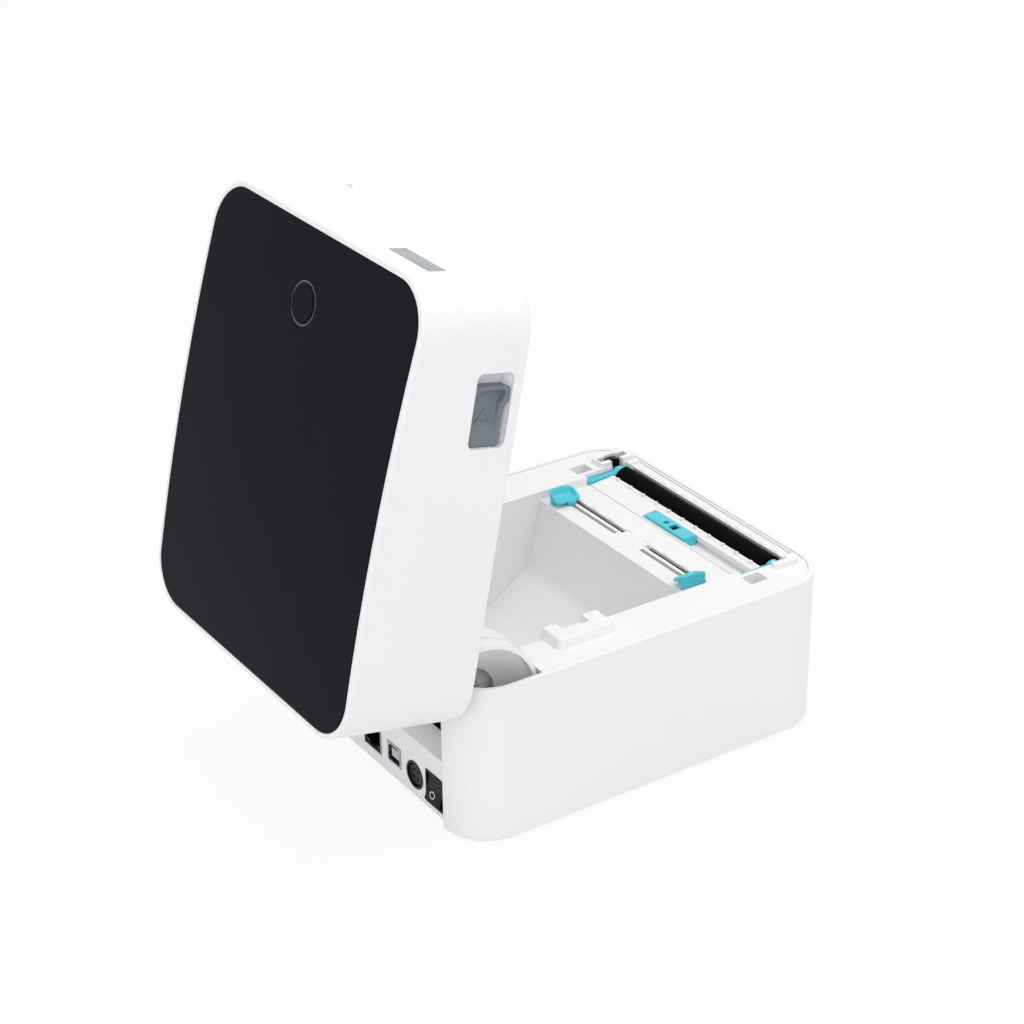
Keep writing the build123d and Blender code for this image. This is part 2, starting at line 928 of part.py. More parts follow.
# Hinge pins: flanged hollow pins that stand out from the frame's cheeks through the cover's ears
pin_shoulder_x = bay_half_width + hinge_cheek_width
flange_start_x = ear_inner_x + ear_floor + fit_gap
with BuildPart() as hinge_pin:
    add(
        rod(
            bay_half_width + fit_gap,
            ear_inner_x,
            hinge_y,
            hinge_z,
            hinge_pin_radius - hinge_pin_step - running_gap,
        )
    )
    add(rod(pin_shoulder_x + running_gap, flange_start_x, hinge_y, hinge_z, hinge_pin_radius - running_gap))
    add(rod(flange_start_x, flange_start_x + hinge_flange, hinge_y, hinge_z, hinge_boss_radius - fit_gap))
    add(rod(ear_inner_x - over, half_width, hinge_y, hinge_z, hinge_pin_radius / 2), mode=Mode.SUBTRACT)
both_sides(hinge_pin.part, "hinge_pin")

# Connector panel: the recessed rear plate with its shelf
switch_x = switch_inset - panel_half_width
power_x = power_inset - panel_half_width
usb_x = usb_inset - panel_half_width
ethernet_x = ethernet_inset - panel_half_width
jack_z = board_top + ethernet_height / 2
usb_z = board_top + usb_lift + usb_height / 2
with BuildPart() as connector_panel:
    add(
        block(
            (-panel_half_width, panel_half_width),
            (panel_face_y - shell_wall, panel_face_y),
            (plate_top, panel_top),
        )
    )
    add(
        block(
            (-pillar_half_gap + fit_gap, pillar_half_gap - fit_gap),
            (panel_face_y - panel_shelf_depth, panel_face_y),
            (panel_top - shell_wall / 2, panel_top),
        )
    )
    add(
        block(
            (-pillar_half_gap + fit_gap, pillar_half_gap - fit_gap),
            (panel_face_y - shell_wall, panel_face_y),
            (shell_foot + panel_foot, plate_top),
        )
    )
    with BuildSketch(Plane.XZ.offset(-half_depth)):
        with Locations((ethernet_x, jack_z)):
            Rectangle(ethernet_width + fit_gap, ethernet_height + fit_gap)
        with Locations((usb_x, usb_z)):
            Rectangle(usb_width + fit_gap, usb_height + fit_gap)
        with Locations((power_x, power_height)):
            Circle(power_radius + fit_gap / 2)
        with Locations((switch_x, switch_z)):
            Rectangle(switch_width - switch_flange_lap, switch_height - switch_flange_lap)
    extrude(amount=recess_depth + shell_wall + over, mode=Mode.SUBTRACT)
keep(connector_panel.part, "connector_panel")

# Sockets on the main board: the network jack in its shell, the square bus socket and the round power socket
with BuildPart() as ethernet_shell:
    add(
        block(
            (ethernet_x - ethernet_width / 2, ethernet_x + ethernet_width / 2),
            (socket_face - ethernet_depth, socket_face),
            (board_top, board_top + ethernet_height),
        )
    )
    with BuildSketch(Plane.XZ.offset(-socket_face)):
        with Locations((ethernet_x, jack_z)):
            Rectangle(ethernet_width - 2 * ethernet_shell_wall, ethernet_height - 2 * ethernet_shell_wall)
    extrude(amount=ethernet_depth - ethernet_shell_wall, mode=Mode.SUBTRACT)
keep(ethernet_shell.part, "ethernet_shell")

with BuildPart() as ethernet_jack:
    insert_wall = ethernet_shell_wall + close_gap
    with BuildSketch(Plane.XZ.offset(-socket_face + ethernet_shell_wall)):
        with Locations((ethernet_x, jack_z)):
            Rectangle(ethernet_width - 2 * insert_wall, ethernet_height - 2 * insert_wall)
    extrude(amount=ethernet_depth - ethernet_shell_wall - insert_wall)
    mouth_z = jack_z + ethernet_mouth_lift
    with BuildSketch(Plane.XZ.offset(-socket_face)):
        with Locations((ethernet_x, mouth_z)):
            Rectangle(ethernet_mouth_width, ethernet_mouth_height)
        with Locations((ethernet_x, mouth_z - ethernet_mouth_height / 2)):
            Rectangle(ethernet_catch_width, 2 * ethernet_catch_height)
    extrude(amount=ethernet_depth - ethernet_back, mode=Mode.SUBTRACT)
keep(ethernet_jack.part, "ethernet_jack")

with BuildPart() as usb_port:
    with BuildSketch(Plane.XZ.offset(-socket_face)):
        with Locations((usb_x, usb_z)):
            Rectangle(usb_width, usb_height)
    extrude(amount=usb_depth)
    with BuildSketch(Plane.XZ.offset(-socket_face)) as usb_mouth:
        with Locations((usb_x, usb_z)):
            Rectangle(usb_width - 2 * usb_wall, usb_height - 2 * usb_wall)
        chamfer(usb_mouth.vertices().group_by(Axis.Y)[-1], usb_corner)
    extrude(amount=usb_depth - usb_wall, mode=Mode.SUBTRACT)
    add(
        block(
            (usb_x - usb_width / 2, usb_x + usb_width / 2),
            (socket_face - usb_depth, panel_face_y - shell_wall - fit_gap),
            (board_top, board_top + usb_lift + usb_wall / 2),
        )
    )
keep(usb_port.part, "usb_port")

with BuildPart() as usb_tongue:
    insert_inset = usb_wall + close_gap
    insert_front = socket_face - usb_depth + insert_inset + usb_back
    with BuildSketch(Plane.XZ.offset(-insert_front)) as usb_insert:
        with Locations((usb_x, usb_z)):
            Rectangle(usb_width - 2 * insert_inset, usb_height - 2 * insert_inset)
        chamfer(usb_insert.vertices().group_by(Axis.Y)[-1], usb_corner)
    extrude(amount=usb_back)
    with BuildSketch(Plane.XZ.offset(-socket_face + usb_set_back)):
        with Locations((usb_x, usb_z)):
            Rectangle(usb_tongue_width, usb_tongue_height)
    extrude(amount=usb_depth - usb_wall - close_gap - usb_set_back)
keep(usb_tongue.part, "usb_tongue")

with BuildPart() as power_socket:
    with BuildSketch(Plane.XZ.offset(-socket_face)):
        with Locations((power_x, power_height)):
            Circle(power_radius)
    extrude(amount=power_depth)
    with BuildSketch(Plane.XZ.offset(-socket_face)):
        with Locations((power_x, power_height)):
            Circle(power_radius - power_ring)
            Circle(power_core_radius, mode=Mode.SUBTRACT)
    extrude(amount=power_depth - power_back, mode=Mode.SUBTRACT)
    with BuildSketch(Plane.XZ.offset(-socket_face)):
        with Locations((power_x, power_height)):
            Circle(power_core_radius + over / 2)
    extrude(amount=power_core_set_back, mode=Mode.SUBTRACT)
    with BuildSketch(Plane.XZ.offset(-socket_face)):
        with Locations((power_x, power_height)):
            with PolarLocations(power_pin_circle, power_pin_count, 180 / power_pin_count):
                Circle(power_pin_radius)
        with Locations((power_x, power_height + power_core_radius)):
            Rectangle(power_key, power_key)
    extrude(amount=power_pin_depth, mode=Mode.SUBTRACT)
    add(
        block(
            (power_x - power_radius, power_x + power_radius),
            (board_notch_y - power_seat, panel_face_y - shell_wall - fit_gap),
            (board_top, power_height),
        )
    )
keep(power_socket.part, "power_socket")

# Power switch: a housing clipped into the panel, and the rocker that tips in it
switch_opening_width = switch_width - 2 * switch_frame
switch_opening_height = switch_height - 2 * switch_frame
rocker_axis_y = socket_face - switch_pivot_depth
with BuildPart() as switch_housing:
    with BuildSketch(Plane.XZ.offset(-panel_face_y)):
        with Locations((switch_x, switch_z)):
            Rectangle(switch_width, switch_height)
    extrude(amount=-switch_flange)
    with BuildSketch(Plane.XZ.offset(-panel_face_y)):
        with Locations((switch_x, switch_z)):
            Rectangle(switch_width - switch_frame, switch_height - switch_frame)
    extrude(amount=switch_depth)
    with BuildSketch(Plane.XZ.offset(-panel_face_y - switch_flange)):
        with Locations((switch_x, switch_z)):
            Rectangle(switch_opening_width, switch_opening_height)
    extrude(amount=switch_depth - switch_frame, mode=Mode.SUBTRACT)
    for side in (-1, 1):
        with BuildSketch(Plane.YZ.offset(switch_x + side * (switch_opening_width / 2 + running_gap))):
            with Locations((rocker_axis_y, switch_z)):
                Circle(switch_pivot_radius)
        extrude(amount=-side * switch_pivot_length)
keep(switch_housing.part, "switch_housing")

with BuildPart() as switch_rocker:
    rocker_half = switch_opening_height / 2 - rocker_end_gap
    with BuildSketch(Plane.YZ.offset(switch_x - switch_opening_width / 2 + rocker_gap)):
        with BuildLine():
            Polyline(
                (rocker_axis_y - rocker_tail, switch_z - rocker_tail_half),
                (rocker_axis_y + rocker_shoulder, switch_z - rocker_half + rocker_end_gap),
                (rocker_axis_y + rocker_raised, switch_z - rocker_half + rocker_lip),
                (rocker_axis_y + rocker_middle, switch_z),
                (rocker_axis_y + rocker_pressed, switch_z + rocker_half - rocker_gap),
                (rocker_axis_y + rocker_shoulder, switch_z + rocker_half - rocker_gap),
                (rocker_axis_y - rocker_tail, switch_z + rocker_tail_half),
                close=True,
            )
        make_face()
    extrude(amount=switch_opening_width - 2 * rocker_gap)
    with BuildSketch(Plane.YZ.offset(switch_x - switch_opening_width / 2)):
        with Locations((rocker_axis_y, switch_z)):
            Circle(switch_pivot_radius + running_gap)
    extrude(amount=switch_opening_width, mode=Mode.SUBTRACT)
keep(switch_rocker.part, "switch_rocker")

# Bottom plate, feet and screws
foot_x = half_width - foot_inset_x
foot_y = half_depth - foot_inset_y
with BuildPart() as bottom_plate:
    add(slab(plate_low, plate_top, frame_inset))
    add(
        block(
            (-pillar_half_gap, pillar_half_gap),
            (panel_face_y - shell_wall - fit_gap, half_depth),
            (0, rim_height),
        ),
        mode=Mode.SUBTRACT,
    )
    with BuildSketch(Plane.XY.offset(plate_low - foot_ring_height)):
        with GridLocations(2 * foot_x, 2 * foot_y, 2, 2):
            Circle(foot_radius + foot_ring)
            Circle(foot_radius + close_gap, mode=Mode.SUBTRACT)
    extrude(amount=foot_ring_height)
    with BuildSketch(Plane.XY.offset(plate_low - over)):
        with GridLocations(2 * boss_x, 2 * boss_y, 2, 2):
            Circle(screw_radius + close_gap)
        with GridLocations(vent_pitch, 0, vent_count, 1):
            Rectangle(vent_width, vent_length)
    extrude(amount=plate_thickness + 2 * over, mode=Mode.SUBTRACT)
    with BuildSketch(Plane.XY.offset(plate_top)):
        with Locations((0, (board_front_y + board_rear_y) / 2 + standoff_shift)):
            with GridLocations(2 * (board_half_x - standoff_inset), standoff_spacing, 2, 2):
                Circle(standoff_radius)
    extrude(amount=board_height - plate_top)
keep(bottom_plate.part, "bottom_plate")

foot_places = [(foot_x, -foot_y), (-foot_x, -foot_y), (-foot_x, foot_y), (foot_x, foot_y)]
for count, (x, y) in enumerate(foot_places, 1):
    with BuildPart() as rubber_foot:
        with BuildSketch():
            with Locations((x, y)):
                Circle(foot_sole_radius)
        with BuildSketch(Plane.XY.offset(plate_low)):
            with Locations((x, y)):
                Circle(foot_radius)
        loft()
    keep(rubber_foot.part, f"rubber_foot_{count}")

with BuildPart() as case_screws:
    with BuildSketch(Plane.XY.offset(plate_low - screw_head_height + screw_head_rise)):
        with GridLocations(2 * boss_x, 2 * boss_y, 2, 2):
            Circle(screw_head_radius)
            RegularPolygon(screw_drive_radius, screw_drive_sides, mode=Mode.SUBTRACT)
    extrude(amount=screw_head_height - screw_head_rise)
    with BuildSketch(Plane.XY.offset(plate_low)):
        with GridLocations(2 * boss_x, 2 * boss_y, 2, 2):
            Circle(screw_radius - running_gap)
    extrude(amount=screw_length)
keep(case_screws.part, "case_screws")

# Main board with its few large components
with BuildPart() as main_board:
    with BuildSketch(Plane.XY.offset(board_height)):
        with Locations((0, (board_front_y + board_rear_y) / 2)):
            RectangleRounded(2 * board_half_x, board_length, board_round)
    extrude(amount=board_thickness)
    add(
        block(
            (-half_width, usb_x - board_notch_gap),
            (board_notch_y, half_depth),
            (plate_top, ledge_height),
        ),
        mode=Mode.SUBTRACT,
    )
    with BuildSketch(Plane.XY.offset(board_top)):
        for chip_x, chip_share, chip_width, chip_depth in chip_sides:
            with Locations((chip_x, (board_front_y + board_rear_y) / 2 + chip_share * board_length / 2)):
                Rectangle(chip_width, chip_depth)
    extrude(amount=chip_height)
    with BuildSketch(Plane.XY.offset(board_top)):
        with Locations((board_half_x - can_inset_x, half_depth - can_inset_y)):
            with GridLocations(can_pitch, 0, can_count, 1):
                Circle(can_radius)
    extrude(amount=can_height)
keep(main_board.part, "main_board")


def gear(teeth, plane, width, bore, phase=0.0):
    """A spur gear on a plane at its axis, with tapered teeth on its root circle."""
    pitch = gear_module * teeth / 2
    root = pitch - tooth_depth * gear_module
    tip = pitch + tooth_height * gear_module
    root_half = tooth_root_share * pi / teeth
    tip_half = tooth_tip_share * pi / teeth
    sunk = root - gear_module / 2
    with BuildPart() as wheel:
        with BuildSketch(plane):
            Circle(root)
            with PolarLocations(0, teeth, phase):
                with BuildLine():
                    Polyline(
                        (sunk * cos(root_half), -sunk * sin(root_half)),
                        (tip * cos(tip_half), -tip * sin(tip_half)),
                        (tip * cos(tip_half), tip * sin(tip_half)),
                        (sunk * cos(root_half), sunk * sin(root_half)),
                        close=True,
                    )
                make_face()
            Circle(bore, mode=Mode.SUBTRACT)
        extrude(amount=width)
    return wheel.part


def meshed_phase(teeth, phase, next_teeth, direction):
    """The phase that puts a gear in mesh with one that lies against a given direction from it, in degrees."""
    return direction + 180 - (180 - teeth * (direction - phase)) / next_teeth


def along_x(x, y, z):
    """The plane at a point on an axis along X."""
    return Plane(origin=(x, y, z), x_dir=(0, 1, 0), z_dir=(1, 0, 0))


# Platen roller: its shaft, its rubber and the three gears that drive it
with BuildPart() as platen_shaft:
    add(rod(-bearing_end_x - shaft_end, gear_end_x + motor_shaft_end, roller_y, roller_height, shaft_radius))
    chamfer(platen_shaft.edges().filter_by(GeomType.CIRCLE), shaft_chamfer)
keep(platen_shaft.part, "platen_shaft")

with BuildPart() as platen_rubber:
    with BuildSketch(Plane.YZ.offset(-roller_half_length)):
        with Locations((roller_y, roller_height)):
            Circle(roller_radius)
            Circle(shaft_radius, mode=Mode.SUBTRACT)
    extrude(amount=2 * roller_half_length)
keep(platen_rubber.part, "platen_rubber")

idler_distance = gear_module * (platen_teeth + idler_teeth) / 2
pinion_distance = gear_module * (idler_teeth + pinion_teeth) / 2
idler_y = roller_y + idler_distance * cos(radians(idler_direction))
idler_z = roller_height + idler_distance * sin(radians(idler_direction))
motor_y = idler_y + pinion_distance * cos(radians(pinion_direction))
motor_z = idler_z + pinion_distance * sin(radians(pinion_direction))
idler_phase = meshed_phase(platen_teeth, 0, idler_teeth, idler_direction)
pinion_phase = meshed_phase(idler_teeth, idler_phase, pinion_teeth, pinion_direction)
platen_plane = along_x(gear_start_x, roller_y, roller_height)
idler_plane = along_x(gear_start_x, idler_y, idler_z)
motor_plane = along_x(gear_start_x, motor_y, motor_z)
idler_bore = idler_pin_radius + running_gap
keep(gear(platen_teeth, platen_plane, gear_width, shaft_radius), "platen_gear")
keep(gear(idler_teeth, idler_plane, gear_width, idler_bore, idler_phase), "idler_gear")
keep(gear(pinion_teeth, motor_plane, gear_width, motor_shaft_radius, pinion_phase), "motor_pinion")

# Motor, the plate that carries it, and the idler's axle
motor_shaft_start = motor_plate_x - motor_shaft_sunk
with BuildPart() as motor_shaft:
    add(rod(motor_shaft_start, gear_end_x + motor_shaft_end, motor_y, motor_z, motor_shaft_radius))
keep(motor_shaft.part, "motor_shaft")

with BuildPart() as stepper_motor:
    with BuildSketch(Plane.YZ.offset(motor_plate_x - motor_length)) as motor_end:
        with Locations((motor_y, motor_z)):
            Rectangle(motor_size, motor_size)
        chamfer(motor_end.vertices(), motor_corner)
    extrude(amount=motor_length)
    with BuildSketch(Plane.YZ.offset(motor_plate_x - 2 * motor_length / 3)):
        with Locations((motor_y, motor_z)):
            Rectangle(motor_size + over, motor_size + over)
            Rectangle(motor_size - 2 * motor_waist, motor_size - 2 * motor_waist, mode=Mode.SUBTRACT)
    extrude(amount=motor_length / 3, mode=Mode.SUBTRACT)
    add(
        rod(
            motor_plate_x - motor_shaft_sunk - over,
            motor_plate_x,
            motor_y,
            motor_z,
            motor_shaft_radius + running_gap,
        ),
        mode=Mode.SUBTRACT,
    )
keep(stepper_motor.part, "stepper_motor")

bracket_half = motor_size / 2 + motor_plate_margin
with BuildPart() as motor_bracket:
    add(
        block(
            (motor_plate_x, motor_plate_x + motor_plate),
            (motor_y - bracket_half, motor_y + bracket_half),
            (plate_top, idler_z + motor_plate_top),
        )
    )
    fillet(motor_bracket.edges().filter_by(Axis.X).group_by(Axis.Z)[-1], motor_plate_round)
    add(
        block(
            (motor_plate_x - motor_foot, motor_plate_x + motor_plate),
            (motor_y - bracket_half, motor_y + bracket_half),
            (plate_top, plate_top + motor_plate),
        )
    )
    add(
        rod(motor_plate_x - over, motor_plate_x + motor_plate + over, motor_y, motor_z, motor_collar_radius),
        mode=Mode.SUBTRACT,
    )
keep(motor_bracket.part, "motor_bracket")

axle_start = motor_plate_x + motor_plate
with BuildPart() as idler_axle:
    add(rod(axle_start, gear_end_x + fit_gap, idler_y, idler_z, idler_pin_radius))
    add(rod(axle_start, gear_start_x - fit_gap, idler_y, idler_z, idler_collar_radius))
    add(rod(gear_end_x + fit_gap, gear_end_x + fit_gap + idler_cap, idler_y, idler_z, idler_cap_radius))
keep(idler_axle.part, "idler_axle")

# Platen bearings, each with the lever that turns it free
with BuildPart() as bearing_lever:
    add(rod(bearing_start_x, bearing_end_x, roller_y, roller_height, bearing_radius))
    lever_margin = (bearing_length - lever_width) / 2
    add(
        rounded_block(
            (bearing_start_x + lever_margin, bearing_end_x - lever_margin),
            (roller_y, roller_y + lever_length),
            (roller_height + lever_lift, roller_height + lever_lift + lever_height),
            lever_round,
        )
    )
    add(
        rod(
            bearing_start_x - over,
            bearing_end_x + over,
            roller_y,
            roller_height,
            shaft_radius + running_gap,
        ),
        mode=Mode.SUBTRACT,
    )
both_sides(bearing_lever.part, "bearing_lever")

# Label guides: a scooped fence on a foot, its stem through the deck's slot, and the carrier under the deck
guide_reach = bay_half_width - guide_inset
guide_front_y = guide_front_inset - half_depth
guide_rear_y = guide_rear_inset - half_depth
guide_foot = deck_height + rib_height + fit_gap
carrier_top = deck_low - fit_gap
carrier_low = carrier_top - carrier_thickness
stem_front = guide_slot_front + fit_gap
stem_rear = guide_slot_rear - fit_gap


def label_guide(side):
    """The guide of one side. The right one's rack runs behind the pinion, the left one's in front."""
    reach = side * guide_reach
    tongue_x = reach - side * guide_tongue_start
    tip_x = reach - side * guide_foot_reach
    top_x = reach - side * guide_top_width
    tongue = (tip_x - side * over, tongue_x)
    tongue_front = groove_front + guide_tongue_margin
    tongue_rear = guide_slot_rear + guide_tongue_margin
    with BuildPart() as guide:
        with BuildSketch(Plane.XZ.offset(-guide_rear_y)):
            with BuildLine():
                Polyline(
                    (tongue_x, guide_foot + guide_scoop_foot),
                    (tip_x, guide_foot + guide_tongue_height),
                    (tip_x, guide_foot),
                    (reach - side * guide_lean, guide_foot),
                    (reach, guide_foot + guide_height),
                    (top_x, guide_foot + guide_height),
                )
                ThreePointArc(
                    (top_x, guide_foot + guide_height),
                    (reach - side * guide_scoop_in, guide_foot + guide_scoop_height),
                    (tongue_x, guide_foot + guide_scoop_foot),
                )
            make_face()
        extrude(amount=guide_rear_y - guide_front_y)
        with BuildSketch(Plane.YZ.offset(-half_width)) as guide_side:
            with BuildLine():
                Polyline(
                    (guide_front_y, guide_foot),
                    (guide_front_y, guide_foot + guide_front_height),
                    (guide_rear_y, guide_foot + guide_height),
                    (guide_rear_y, guide_foot),
                    close=True,
                )
            make_face()
            fillet(guide_side.vertices().filter_by(lambda corner: corner.Y > guide_foot + over), guide_round)
        extrude(amount=base_width, mode=Mode.INTERSECT)
        for cut in (
            block(tongue, (guide_front_y - over, tongue_front), (guide_foot, ledge_height)),
            block(tongue, (tongue_rear, guide_rear_y + over), (guide_foot, ledge_height)),
        ):
            add(cut, mode=Mode.SUBTRACT)
        add(
            block(
                (reach - side * stem_outer, reach - side * stem_inner),
                (stem_front, stem_rear),
                (carrier_low, guide_foot + over),
            )
        )
        rack_edge = rack_y + side * (rack_pitch_radius + rack_width)
        add(
            block(
                (reach - side * carrier_outer, reach - side * carrier_inner),
                (min(stem_front, rack_edge), max(stem_rear, rack_edge)),
                (carrier_low, carrier_top),
            )
        )
    return guide.part


def guide_rack(side):
    """The toothed bar under one guide's carrier, in mesh with the pinion between the two."""
    pitch = pi * gear_module
    start = side * (guide_reach - carrier_outer)
    end = -side * rack_overrun
    line = rack_y + side * rack_pitch_radius
    root = line + side * tooth_depth * gear_module
    back = line + side * rack_width
    tip = line - side * tooth_height * gear_module
    sunk = root + side * gear_module / 4
    half_root = tooth_root_share * pitch / 2
    half_tip = tooth_tip_share * pitch / 2
    first = side * pitch / 2 - side * pitch * int(rack_overrun / pitch - 1)
    count = int((guide_reach - carrier_outer + rack_overrun) / pitch) - 2
    with BuildPart() as rack:
        with BuildSketch(Plane.XY.offset(carrier_low - rack_height)):
            with BuildLine():
                Polyline((start, root), (end, root), (end, back), (start, back), close=True)
            make_face()
            for tooth in range(count):
                middle = first + side * tooth * pitch
                with BuildLine():
                    Polyline(
                        (middle - half_root, sunk),
                        (middle - half_tip, tip),
                        (middle + half_tip, tip),
                        (middle + half_root, sunk),
                        close=True,
                    )
                make_face()
        extrude(amount=rack_height)
    return rack.part


for side, name in ((1, "right"), (-1, "left")):
    keep(label_guide(side), f"guide_{name}")
    keep(guide_rack(side), f"guide_rack_{name}")
guide_pinion_teeth = int(2 * rack_pitch_radius / gear_module)
guide_gear_plane = Plane(origin=(0, rack_y, carrier_low - rack_height))
guide_bore = guide_post_radius + running_gap
keep(gear(guide_pinion_teeth, guide_gear_plane, rack_height, guide_bore, 90), "guide_pinion")

# Shouldered axle that holds the guides' pinion under the deck
with BuildPart() as guide_axle:
    axle_head_z = carrier_low - rack_height - fit_gap
    with BuildSketch(Plane.XY.offset(axle_head_z - guide_post_head_height)):
        with Locations((0, rack_y)):
            Circle(guide_post_head)
    extrude(amount=guide_post_head_height)
    with BuildSketch(Plane.XY.offset(axle_head_z)):
        with Locations((0, rack_y)):
            Circle(guide_post_radius)
    extrude(amount=deck_low - axle_head_z)
    with BuildSketch(Plane.XY.offset(deck_low)):
        with Locations((0, rack_y)):
            Circle(guide_post_tip - running_gap)
    extrude(amount=guide_post_sunk - close_gap)
keep(guide_axle.part, "guide_axle")

# Sensor carriage and the optical sensor it holds
carriage_end = tray_end - sensor_end_gap
carriage_start = carriage_end - sensor_length
carriage_top = strip_high + sensor_top_gap
sensor_middle = (tray_front + tray_rear) / 2
window_x = carriage_end - sensor_window_share * sensor_length
with BuildPart() as sensor_carriage:
    add(
        block(
            (carriage_start, carriage_end),
            (tray_front + fit_gap, tray_rear - fit_gap),
            (tray_bottom + close_gap, carriage_top),
        )
    )
    slope_edge = sensor_carriage.edges().filter_by(Axis.Y).group_by(Axis.Z)[-1].sort_by(Axis.X)[-1]
    chamfer(slope_edge, sensor_slope_length, sensor_slope_height)
    add(
        block(
            (carriage_start, carriage_end),
            (tray_front - tray_groove + fit_gap, tray_rear + tray_groove - fit_gap),
            (tray_bottom + close_gap, tray_bottom + tray_groove_height - fit_gap),
        )
    )
    with BuildSketch(Plane.XY.offset(carriage_top)):
        with Locations((window_x, sensor_middle)):
            Rectangle(sensor_window, sensor_window)
        with Locations((carriage_end - sensor_hole_share * sensor_length, sensor_middle)):
            Circle(sensor_hole_radius)
    extrude(amount=-sensor_pocket, mode=Mode.SUBTRACT)
keep(sensor_carriage.part, "sensor_carriage")

with BuildPart() as label_sensor:
    sensor_half = sensor_window / 2 - sensor_gap
    add(
        block(
            (window_x - sensor_half, window_x + sensor_half),
            (sensor_middle - sensor_half, sensor_middle + sensor_half),
            (carriage_top - sensor_pocket, carriage_top - sensor_sunk),
        )
    )
keep(label_sensor.part, "label_sensor")


# Cover shell: the rounded wall under an arched top, with a seat for the panel and a cup for each latch
def cover_height(y):
    """The height of the closed cover's top at a given depth position."""
    return dome_z + sqrt(dome_radius**2 - (y - dome_y) ** 2)


def dome_layer(inset, top, bottom):
    """An arched plate of the plan outline, between two depths under the cover's top face."""
    with BuildPart() as layer:
        add(under_dome(cover_front_height - corner_radius, inset, top))
        add(under_dome(cover_front_height - base_width, inset - shell_wall, bottom), mode=Mode.SUBTRACT)
    return layer.part


button_y = button_inset - half_depth
button_height = cover_height(button_y)
button_plane = Plane(
    origin=(0, button_y, button_height),
    x_dir=(1, 0, 0),
    z_dir=(0, button_y - dome_y, button_height - dome_z),
)
latch_front = latch_front_inset - half_depth
latch_rear = latch_rear_inset - half_depth
latch_low = rim_height + latch_rise
latch_high = latch_low + latch_opening
latch_floor_x = half_width - latch_depth
latch_back_x = latch_floor_x - cup_wall
latch_middle = (latch_low + latch_high) / 2
latch_centre_y = (latch_front + latch_rear) / 2
latch_stem_y = latch_stem_inset - half_depth
ceiling_depth = panel_thickness + ceiling_thickness
liner_screw_x = half_width - liner_screw_inset
screw_posts = [
    (side * liner_screw_x, post_y)
    for side in (-1, 1)
    for post_y in (liner_screw_front_inset - half_depth, half_depth - liner_screw_rear_inset)
]
with BuildPart() as posts:
    with BuildSketch(Plane.XY.offset(liner_top)):
        with Locations(*screw_posts):
            Circle(boss_radius)
    extrude(amount=cut_top - liner_top)
    add(under_dome(liner_top - over, shell_wall, ceiling_depth - ceiling_thickness / 2), mode=Mode.INTERSECT)
    with BuildSketch(Plane.XY.offset(liner_top)):
        with Locations(*screw_posts):
            Circle(screw_radius)
    extrude(amount=liner_screw_length, mode=Mode.SUBTRACT)
with BuildPart() as cup_ramps:
    with BuildSketch(Plane.XZ.offset(-latch_rear)):
        with BuildLine():
            Polyline(
                (latch_floor_x - cup_ramp_lap, latch_low - cup_ramp_lap),
                (latch_floor_x - cup_ramp_lap, latch_low + cup_ramp),
                (latch_floor_x, latch_low + cup_ramp),
                (half_width - cup_ramp_lap, latch_low - cup_ramp_lap),
                close=True,
            )
        make_face()
    extrude(amount=latch_rear - latch_front)
    mirror(about=Plane.YZ)
with BuildPart() as cover_shell:
    add(under_dome(cover_low, 0, 0))
    fillet(cover_shell.faces().sort_by(Axis.Z)[-1].edges(), cover_round)
    add(dome_layer(shell_wall, -shell_wall, panel_thickness), mode=Mode.SUBTRACT)
    add(under_dome(cover_low - over, shell_wall, ceiling_depth), mode=Mode.SUBTRACT)
    add(posts.part)
    with BuildSketch(button_plane.offset(-ceiling_depth + fit_gap)):
        with GridLocations(2 * button_post_x, 0, 2, 1):
            Circle(button_post_radius)
    extrude(amount=-button_post_length)
    with BuildSketch(button_plane.offset(over)):
        Circle(button_stem_radius + fit_gap)
    extrude(amount=-ceiling_depth - 2 * over, mode=Mode.SUBTRACT)
    notch_half_width = half_width - notch_inset
    add(
        block(
            (-notch_half_width, notch_half_width),
            (-half_depth - over, -half_depth + 2 * shell_wall),
            (cover_low - over, cover_low + notch_height),
        ),
        mode=Mode.SUBTRACT,
    )
    for side in (-1, 1):
        with BuildSketch(Plane.YZ.offset(side * latch_back_x)):
            with Locations((latch_centre_y, latch_middle)):
                RectangleRounded(
                    latch_rear - latch_front + 2 * cup_wall,
                    latch_high - latch_low + 2 * cup_wall,
                    cup_corner + cup_wall,
                )
        extrude(amount=side * (half_width - latch_back_x - shell_wall / 2))
        with BuildSketch(Plane.YZ.offset(side * latch_floor_x)):
            with Locations((latch_centre_y, latch_middle)):
                RectangleRounded(latch_rear - latch_front, latch_high - latch_low, cup_corner)
        extrude(amount=side * 2 * latch_depth, mode=Mode.SUBTRACT)
    add(cup_ramps.part)
    for side in (-1, 1):
        with BuildSketch(Plane.YZ.offset(side * (latch_back_x - over))):
            with Locations((latch_stem_y - latch_travel / 2, latch_middle)):
                Rectangle(latch_stem_length + latch_travel + 2 * latch_gap, latch_stem_height + 2 * fit_gap)
        extrude(amount=side * latch_depth, mode=Mode.SUBTRACT)
    with BuildSketch(Plane.YZ.offset(-half_width - over)):
        with Locations((half_depth, cover_low)):
            Rectangle(2 * cover_corner, 2 * cover_corner)
        with Locations((half_depth - cover_corner, cover_low + cover_corner)):
            Circle(cover_corner, mode=Mode.SUBTRACT)
    extrude(amount=base_width + 2 * over, mode=Mode.SUBTRACT)
keep(cover_shell.part, "cover_shell", True)

